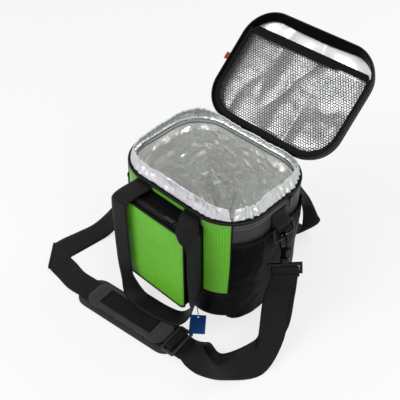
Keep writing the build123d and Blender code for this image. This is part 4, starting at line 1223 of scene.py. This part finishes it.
# %% Tabs that hold the side rings
ring_x, ring_z, ring_y = 161.0, 206.0, 2.0
loop_r = 2.4 + 0.35 + WEB_T / MM / 2
tab_profile = [(150.9, 233.5), (151.2, 224.0), (153.4, 216.5), (158.4, 210.8)]
tab_profile += [(ring_x + loop_r * sin(a), ring_z + loop_r * cos(a)) for a in steps(0.15, 3.6, 7)]
tab_profile += [(156.0, 203.0), (152.9, 208.6), (151.0, 212.8)]
for name, side in (("right", 1), ("left", -1)):
    stations = [((side * x, ring_y - 20, z), (side * x, ring_y + 20, z)) for x, z in tab_profile]
    tab = dress(webbing(name + "_tab_web", stations, each=4, cup=0.0), black_webbing)
    fit(tab, "carrier", strap_slot, name + "_side_tab")
    paths = box_cross(Vector((side * 152.3, -18, 233)) * MM, Vector((0, 40, 0)) * MM, Vector((0, 0, -9)) * MM,
                      Vector((side, 0, 0)))
    fit(dress(thread(name + "_tab_stitches", paths, pitch=3 * MM), dark_thread), "carrier", strap_slot)

# %% [markdown]
# ### Shoulder strap
# One band runs from the left hook round to the right one. On the right it comes back through a tri-glide, so
# there are two layers. It is as the real one lies on the floor: folded over left of the pad, and rising to
# each hook.

# %% Where the strap runs
down = Vector((0.28718, -0.21539, -0.93335))
eye_mid = Vector((187.343, -13.185, 115.748))   # middle of the right hook's eye bar, in mm
wrap_mid = 4.84
strap_w = 50.0
along_bar = Vector((0.72, 0.69, 0.0))
along_bar = (along_bar - down * along_bar.dot(down)).normalized()
facing = along_bar.cross(down).normalized()
facing = facing if facing.y < 0 else -facing
pad_turn = radians(6.5)
pad_centre = Vector((-12.0, -211.0, 0.0))
pad_way = Vector((cos(pad_turn), sin(pad_turn), 0))
pad_side = Vector((-sin(pad_turn), cos(pad_turn), 0))


def at_eye(side, offset, drop=0.0, width=strap_w):
    """The strap's width where it leaves an eye's bar."""
    middle = eye_mid + facing * offset + down * drop
    out, near = middle + along_bar * (width / 2), middle - along_bar * (width / 2)
    return ((side * out.x, out.y, out.z), (side * near.x, near.y, near.z))


def beside(side, u, v, z):
    """A point u outside the bag's side face and v in front of its front face, in mm."""
    return (side * (150 + u), -115 - v, z)


def laid(side, rows):
    """Stations beside the bag, each the two ends of its width as beside() takes them."""
    return [(beside(side, *row[:3]), beside(side, *row[3:])) for row in rows]


def round_eye(side, first, last):
    """Stations turning over an eye's bar."""
    turns = steps(radians(first), radians(last), 6)
    return [at_eye(side, wrap_mid * cos(a), -wrap_mid * sin(a)) for a in turns]


def on_pad(x, z):
    """A station across the pad, in mm."""
    return tuple(tuple(pad_centre + pad_way * x + pad_side * s + Vector((0, 0, z)))
                 for s in (-strap_w / 2, strap_w / 2))


strap_z = 5.6
outer = [on_pad(x, z) for x, z in (
    (100.0, 16.4), (106.0, 16.8), (110.0, 16.9), (113.5, 15.6), (115.5, 11.5), (119.0, 8.4), (126, 8.1),
    (131, 8.1), (135, 8.6))]
outer += laid(1, [(-4, 108, 4, -7, 67, 33), (24, 103, 1.2, 27, 86, 47), (62, 80, 1.2, 54, 88, 49),
                  (101, 26, 1.2, 72, 28, 42), (92, -42, 27, 61, -4, 35), (63, -89, 72, 26, -57, 70)])
outer += [at_eye(1, wrap_mid, 1.0)]
inner = [on_pad(x, strap_z) for x in (126, 130, 134)]
inner += laid(1, [(-10, 98, 1.6, -10, 56, 22), (10, 83, 4, 13, 65, 49), (48, 63, 1.5, 44, 69, 51),
                  (69, -10, 1.5, 59, 16, 42), (82, -62, 24, 50, -24, 30), (64, -103, 72, 28, -71, 70)])
inner += round_eye(1, 180, 0)
for node_name, stations in (("strap_right_outer", outer), ("strap_right_inner", inner)):
    layer = dress(webbing(node_name + "_web", stations, cup=0.2 * MM), black_webbing)
    fit(layer, "carrier", strap_slot, node_name)

# %% The band under the pad, its fold on the floor, and the rise to the left hook
left = [on_pad(x, strap_z) for x in (126, 60, 0, -60, -110, -140)]
left += laid(-1, [(30, 133, 4.6, 26, 84, 4.6), (39, 132, 4.2, 36, 82, 4.2), (54, 130.5, 4.2, 72, 79, 4.2),
                  (64.5, 129.1, 4.2, 112.4, 76.1, 4.2), (67, 129, 4.2, 115, 76, 4.2),
                  (69.4, 129.2, 3.4, 118.4, 76.4, 3.4),
                  (69.6, 129.2, 2.2, 118.6, 76.4, 2.2), (67.5, 127.4, 1.3, 117, 75.2, 1.3),
                  (66.8, 123, 1.2, 116.6, 72.6, 1.2),
                  (63, 92, 1.2, 114.5, 52, 1.2), (56, 25, 1.2, 107.2, 19, 1.8), (49, -18, 7, 100, -17, 4),
                  (43, -40, 29, 91, -53, 24), (31, -60, 68, 72, -89, 70)])
left += [(b, a) for a, b in round_eye(-1, 0, 180) + [at_eye(-1, -wrap_mid - 1.0, 16.0)]]
fit(dress(webbing("strap_left_web", left, each=6, cup=0.1 * MM), black_webbing), "carrier", strap_slot,
    "strap_left_run", "strap_fold", "strap_pad_run")

# %% Sewn folds that fill the eyes of the two hooks
for side, name in ((1, "right"), (-1, "left")):
    turns = steps(radians(-20), radians(200), 13)
    roll = [at_eye(side, 3.6 * cos(a), 3.0 - 14.0 * sin(a), 51.6) for a in turns]
    fold = dress(webbing(name + "_eye_fold", roll, thick=2.6 * MM, cup=0.0), black_webbing)
    fit(fold, "carrier", strap_slot)

# %% Cross stitching at the left end of the strap
eye_out, eye_along, eye_down, left_mid = (
    Vector((-v.x, v.y, v.z)) for v in (facing, along_bar, down, eye_mid))
left_corner = left_mid - eye_along * 23 + eye_out * (wrap_mid + 1.6) + eye_down * 3
left_paths = box_cross(left_corner * MM, eye_along * (46 * MM), eye_down * (13 * MM), eye_out)
fit(dress(thread("strap_end_stitches", left_paths, pitch=3 * MM), pale_thread), "carrier", strap_slot)

# %% [markdown]
# ### Shoulder pad
# The pad is knit over moulded foam: a thin plate with a raised top, pressed channels along both long sides
# and a panel of spacer knit set in the middle. The raised top is inflated a little by a cloth simulation, so
# that its edges round off as sewn foam does. The channels are pressed in afterwards.

# %% Points and forms on the pad's own axes
def pad_point(x, y, z):
    """A point on the pad's own axes, in mm."""
    return (pad_centre + pad_way * x + pad_side * y + Vector((0, 0, z))) * MM


def closed_form(name, plan, profile, count=160):
    """A closed form over an outline, from rings of (inset, height) going round from underneath to the top."""
    rings = [[outline(t, plan, -inset)[0] + Vector((0, 0, z)) for t in around(count)]
             for inset, z in profile]
    shares = (0.02, 0.2, 0.4, 0.6, 0.8)
    under = [[Vector((p.x * s, p.y * s, p.z)) for p in rings[0]] for s in shares]
    over = [[Vector((p.x * s, p.y * s, p.z)) for p in rings[-1]] for s in reversed(shares)]
    points, faces, _ = grid([[pad_point(p.x, p.y, p.z) for p in ring] for ring in under + rings + over],
                            closed=True)
    last = len(points) - count
    faces.append(tuple(range(count))[::-1])
    faces.append(tuple(range(last, last + count)))
    return shape(name, points, faces)


def inflate(piece, voxel, pressure, cap):
    """Remeshes a closed form, swells it as cloth and keeps each point within cap of where it was."""
    remesh = piece.modifiers.new("remesh", "REMESH")
    remesh.mode = "VOXEL"
    remesh.voxel_size = voxel
    applied(piece)
    before = [v.co.copy() for v in piece.data.vertices]
    swell = piece.modifiers.new("swell", "CLOTH")
    swell.settings.use_pressure = True
    swell.settings.uniform_pressure_force = pressure
    swell.settings.effector_weights.gravity = 0.0
    swell.settings.quality = 6
    swell.point_cache.frame_start = 1
    swell.point_cache.frame_end = 20
    for frame_number in range(1, 21):
        bpy.context.scene.frame_set(frame_number)
    applied(piece)
    bpy.context.scene.frame_set(1)
    for v, rest in zip(piece.data.vertices, before):
        move = v.co - rest
        if move.length > cap:
            v.co = rest + move * (cap / move.length)
    return piece


def on_axes(p):
    """A point of the frame on the pad's own axes, in mm."""
    d = p / MM - pad_centre
    return d.dot(pad_way), d.dot(pad_side), p.z / MM


# %% Base plate of the pad
plate = closed_form("pad_base_plate", (118.0, 36.0, 30.0), [
    (3.0, 0.2), (1.0, 0.7), (0.2, 1.6), (0.0, 2.3), (0.4, 3.2), (1.4, 3.8), (3.0, 4.0)])
for v in plate.data.vertices:
    x, y, z = on_axes(v.co)
    v.co.z += 0.35 * MM * sin(abs(y) * 2 * pi / 7.0) * ease((abs(y) - 20) / 8) * (z > 3.5)
fit(dress(plate, pad_knit), "shoulder_pad", "pad_fabric", "pad_base")

# %% Raised top, inflated and pressed
dome = closed_form("pad_raised_top", (93.5, 29.0, 19.0), [
    (0.6, 4.3), (0.0, 7.4), (0.4, 10.6), (2.0, 13.0), (4.4, 14.2), (8.0, 14.6)], count=140)
tunnel_half = 26.8
for v in dome.data.vertices:
    x, y, z = on_axes(v.co)
    if z < 7.5 and abs(y) < tunnel_half:
        v.co.z = 7.6 * MM
inflate(dome, 3.0 * MM, 3.0, 1.6 * MM)
finer = dome.modifiers.new("finer", "SUBSURF")
finer.levels = finer.render_levels = 2
applied(dome)
for v in dome.data.vertices:
    x, y, z = on_axes(v.co)
    top_side = ease((z - 10.5) / 2.5)
    ends = ease((88 - abs(x)) / 14)
    channel = sum(1.1 * max(0.0, 1 - ((abs(y) - line) / 1.5) ** 2) for line in (21.2, 25.0))
    arc = 0.9 * sum(max(0.0, 1 - ((x + 93.5 - 14 * k + 0.012 * y * y) / 1.6) ** 2) for k in (1.0, 1.7))
    bed = 1.9 * ease((62.0 - abs(x)) / 1.2) * ease((18.9 - abs(y)) / 1.2)
    v.co.z -= top_side * (channel * ends + arc * (x < -60) + bed) * MM
    if z < 9 and abs(y) < tunnel_half and abs(x) < 90:
        v.co.z = max(v.co.z, 7.5 * MM)
fit(dress(dome, pad_knit), "shoulder_pad", "pad_fabric", "pad_top")

# %% Inlay panel, with its bound edge
inlay_top = []
for s in steps(0.02, 1.0, 12):
    inlay_top.append([pad_point(p.x * s, p.y * s, 13.9 + 0.5 * (1 - s ** 4)) for p in (
        outline(t, (60.2, 17.4, 3.5))[0] for t in around(120))])
inlay = cloth("pad_inlay_panel", inlay_top, 0.8 * MM, closed=True, offset=0.0, capped=True)
flat_uvs(inlay, lambda p: [v * MM for v in on_axes(p)[:2]])
fit(dress(inlay, inlay_knit), "shoulder_pad", "pad_fabric", "pad_inlay")
edge_line = [outline(t, (60.6, 17.8, 3.8))[0] for t in around(160)]
inlay_edge = tube("pad_inlay_edge", [pad_point(p.x, p.y, 14.1) for p in edge_line], 0.9 * MM, closed=True)
fit(dress(inlay_edge, black_tape), "shoulder_pad", "pad_fabric")
print("pad pieces measured, mm:", [round(v / MM) for v in dome.dimensions])

# %% [markdown]
# ## Hardware
# Rings, hooks, gates, tri-glide and zip sliders keep their CAD solids, because a moulding's shape is exact.
# Their sharp solid edges get the small radius that every real moulding has, and a finish.

# %% Mouldings and castings
moulded_nodes = ("left_side_ring", "right_side_ring", "strap_slider")
cast_words = ("snap_hook", "hook_gate", "hook_eye", "zip_slider", "zip_pull")
for node_name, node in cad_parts.items():
    moulding = node_name in moulded_nodes
    casting = any(word in node_name for word in cast_words)
    if not moulding and not casting:
        continue
    dress(node, zinc if "zip" in node_name else slider_acetal if node_name == "strap_slider" else acetal)
    rounding = node.modifiers.new("edge_radius", "BEVEL")
    rounding.width = (0.6 if moulding else 0.3) * MM
    rounding.segments = 3
    rounding.limit_method = "ANGLE"
    rounding.angle_limit = radians(40)
    rounding.use_clamp_overlap = True
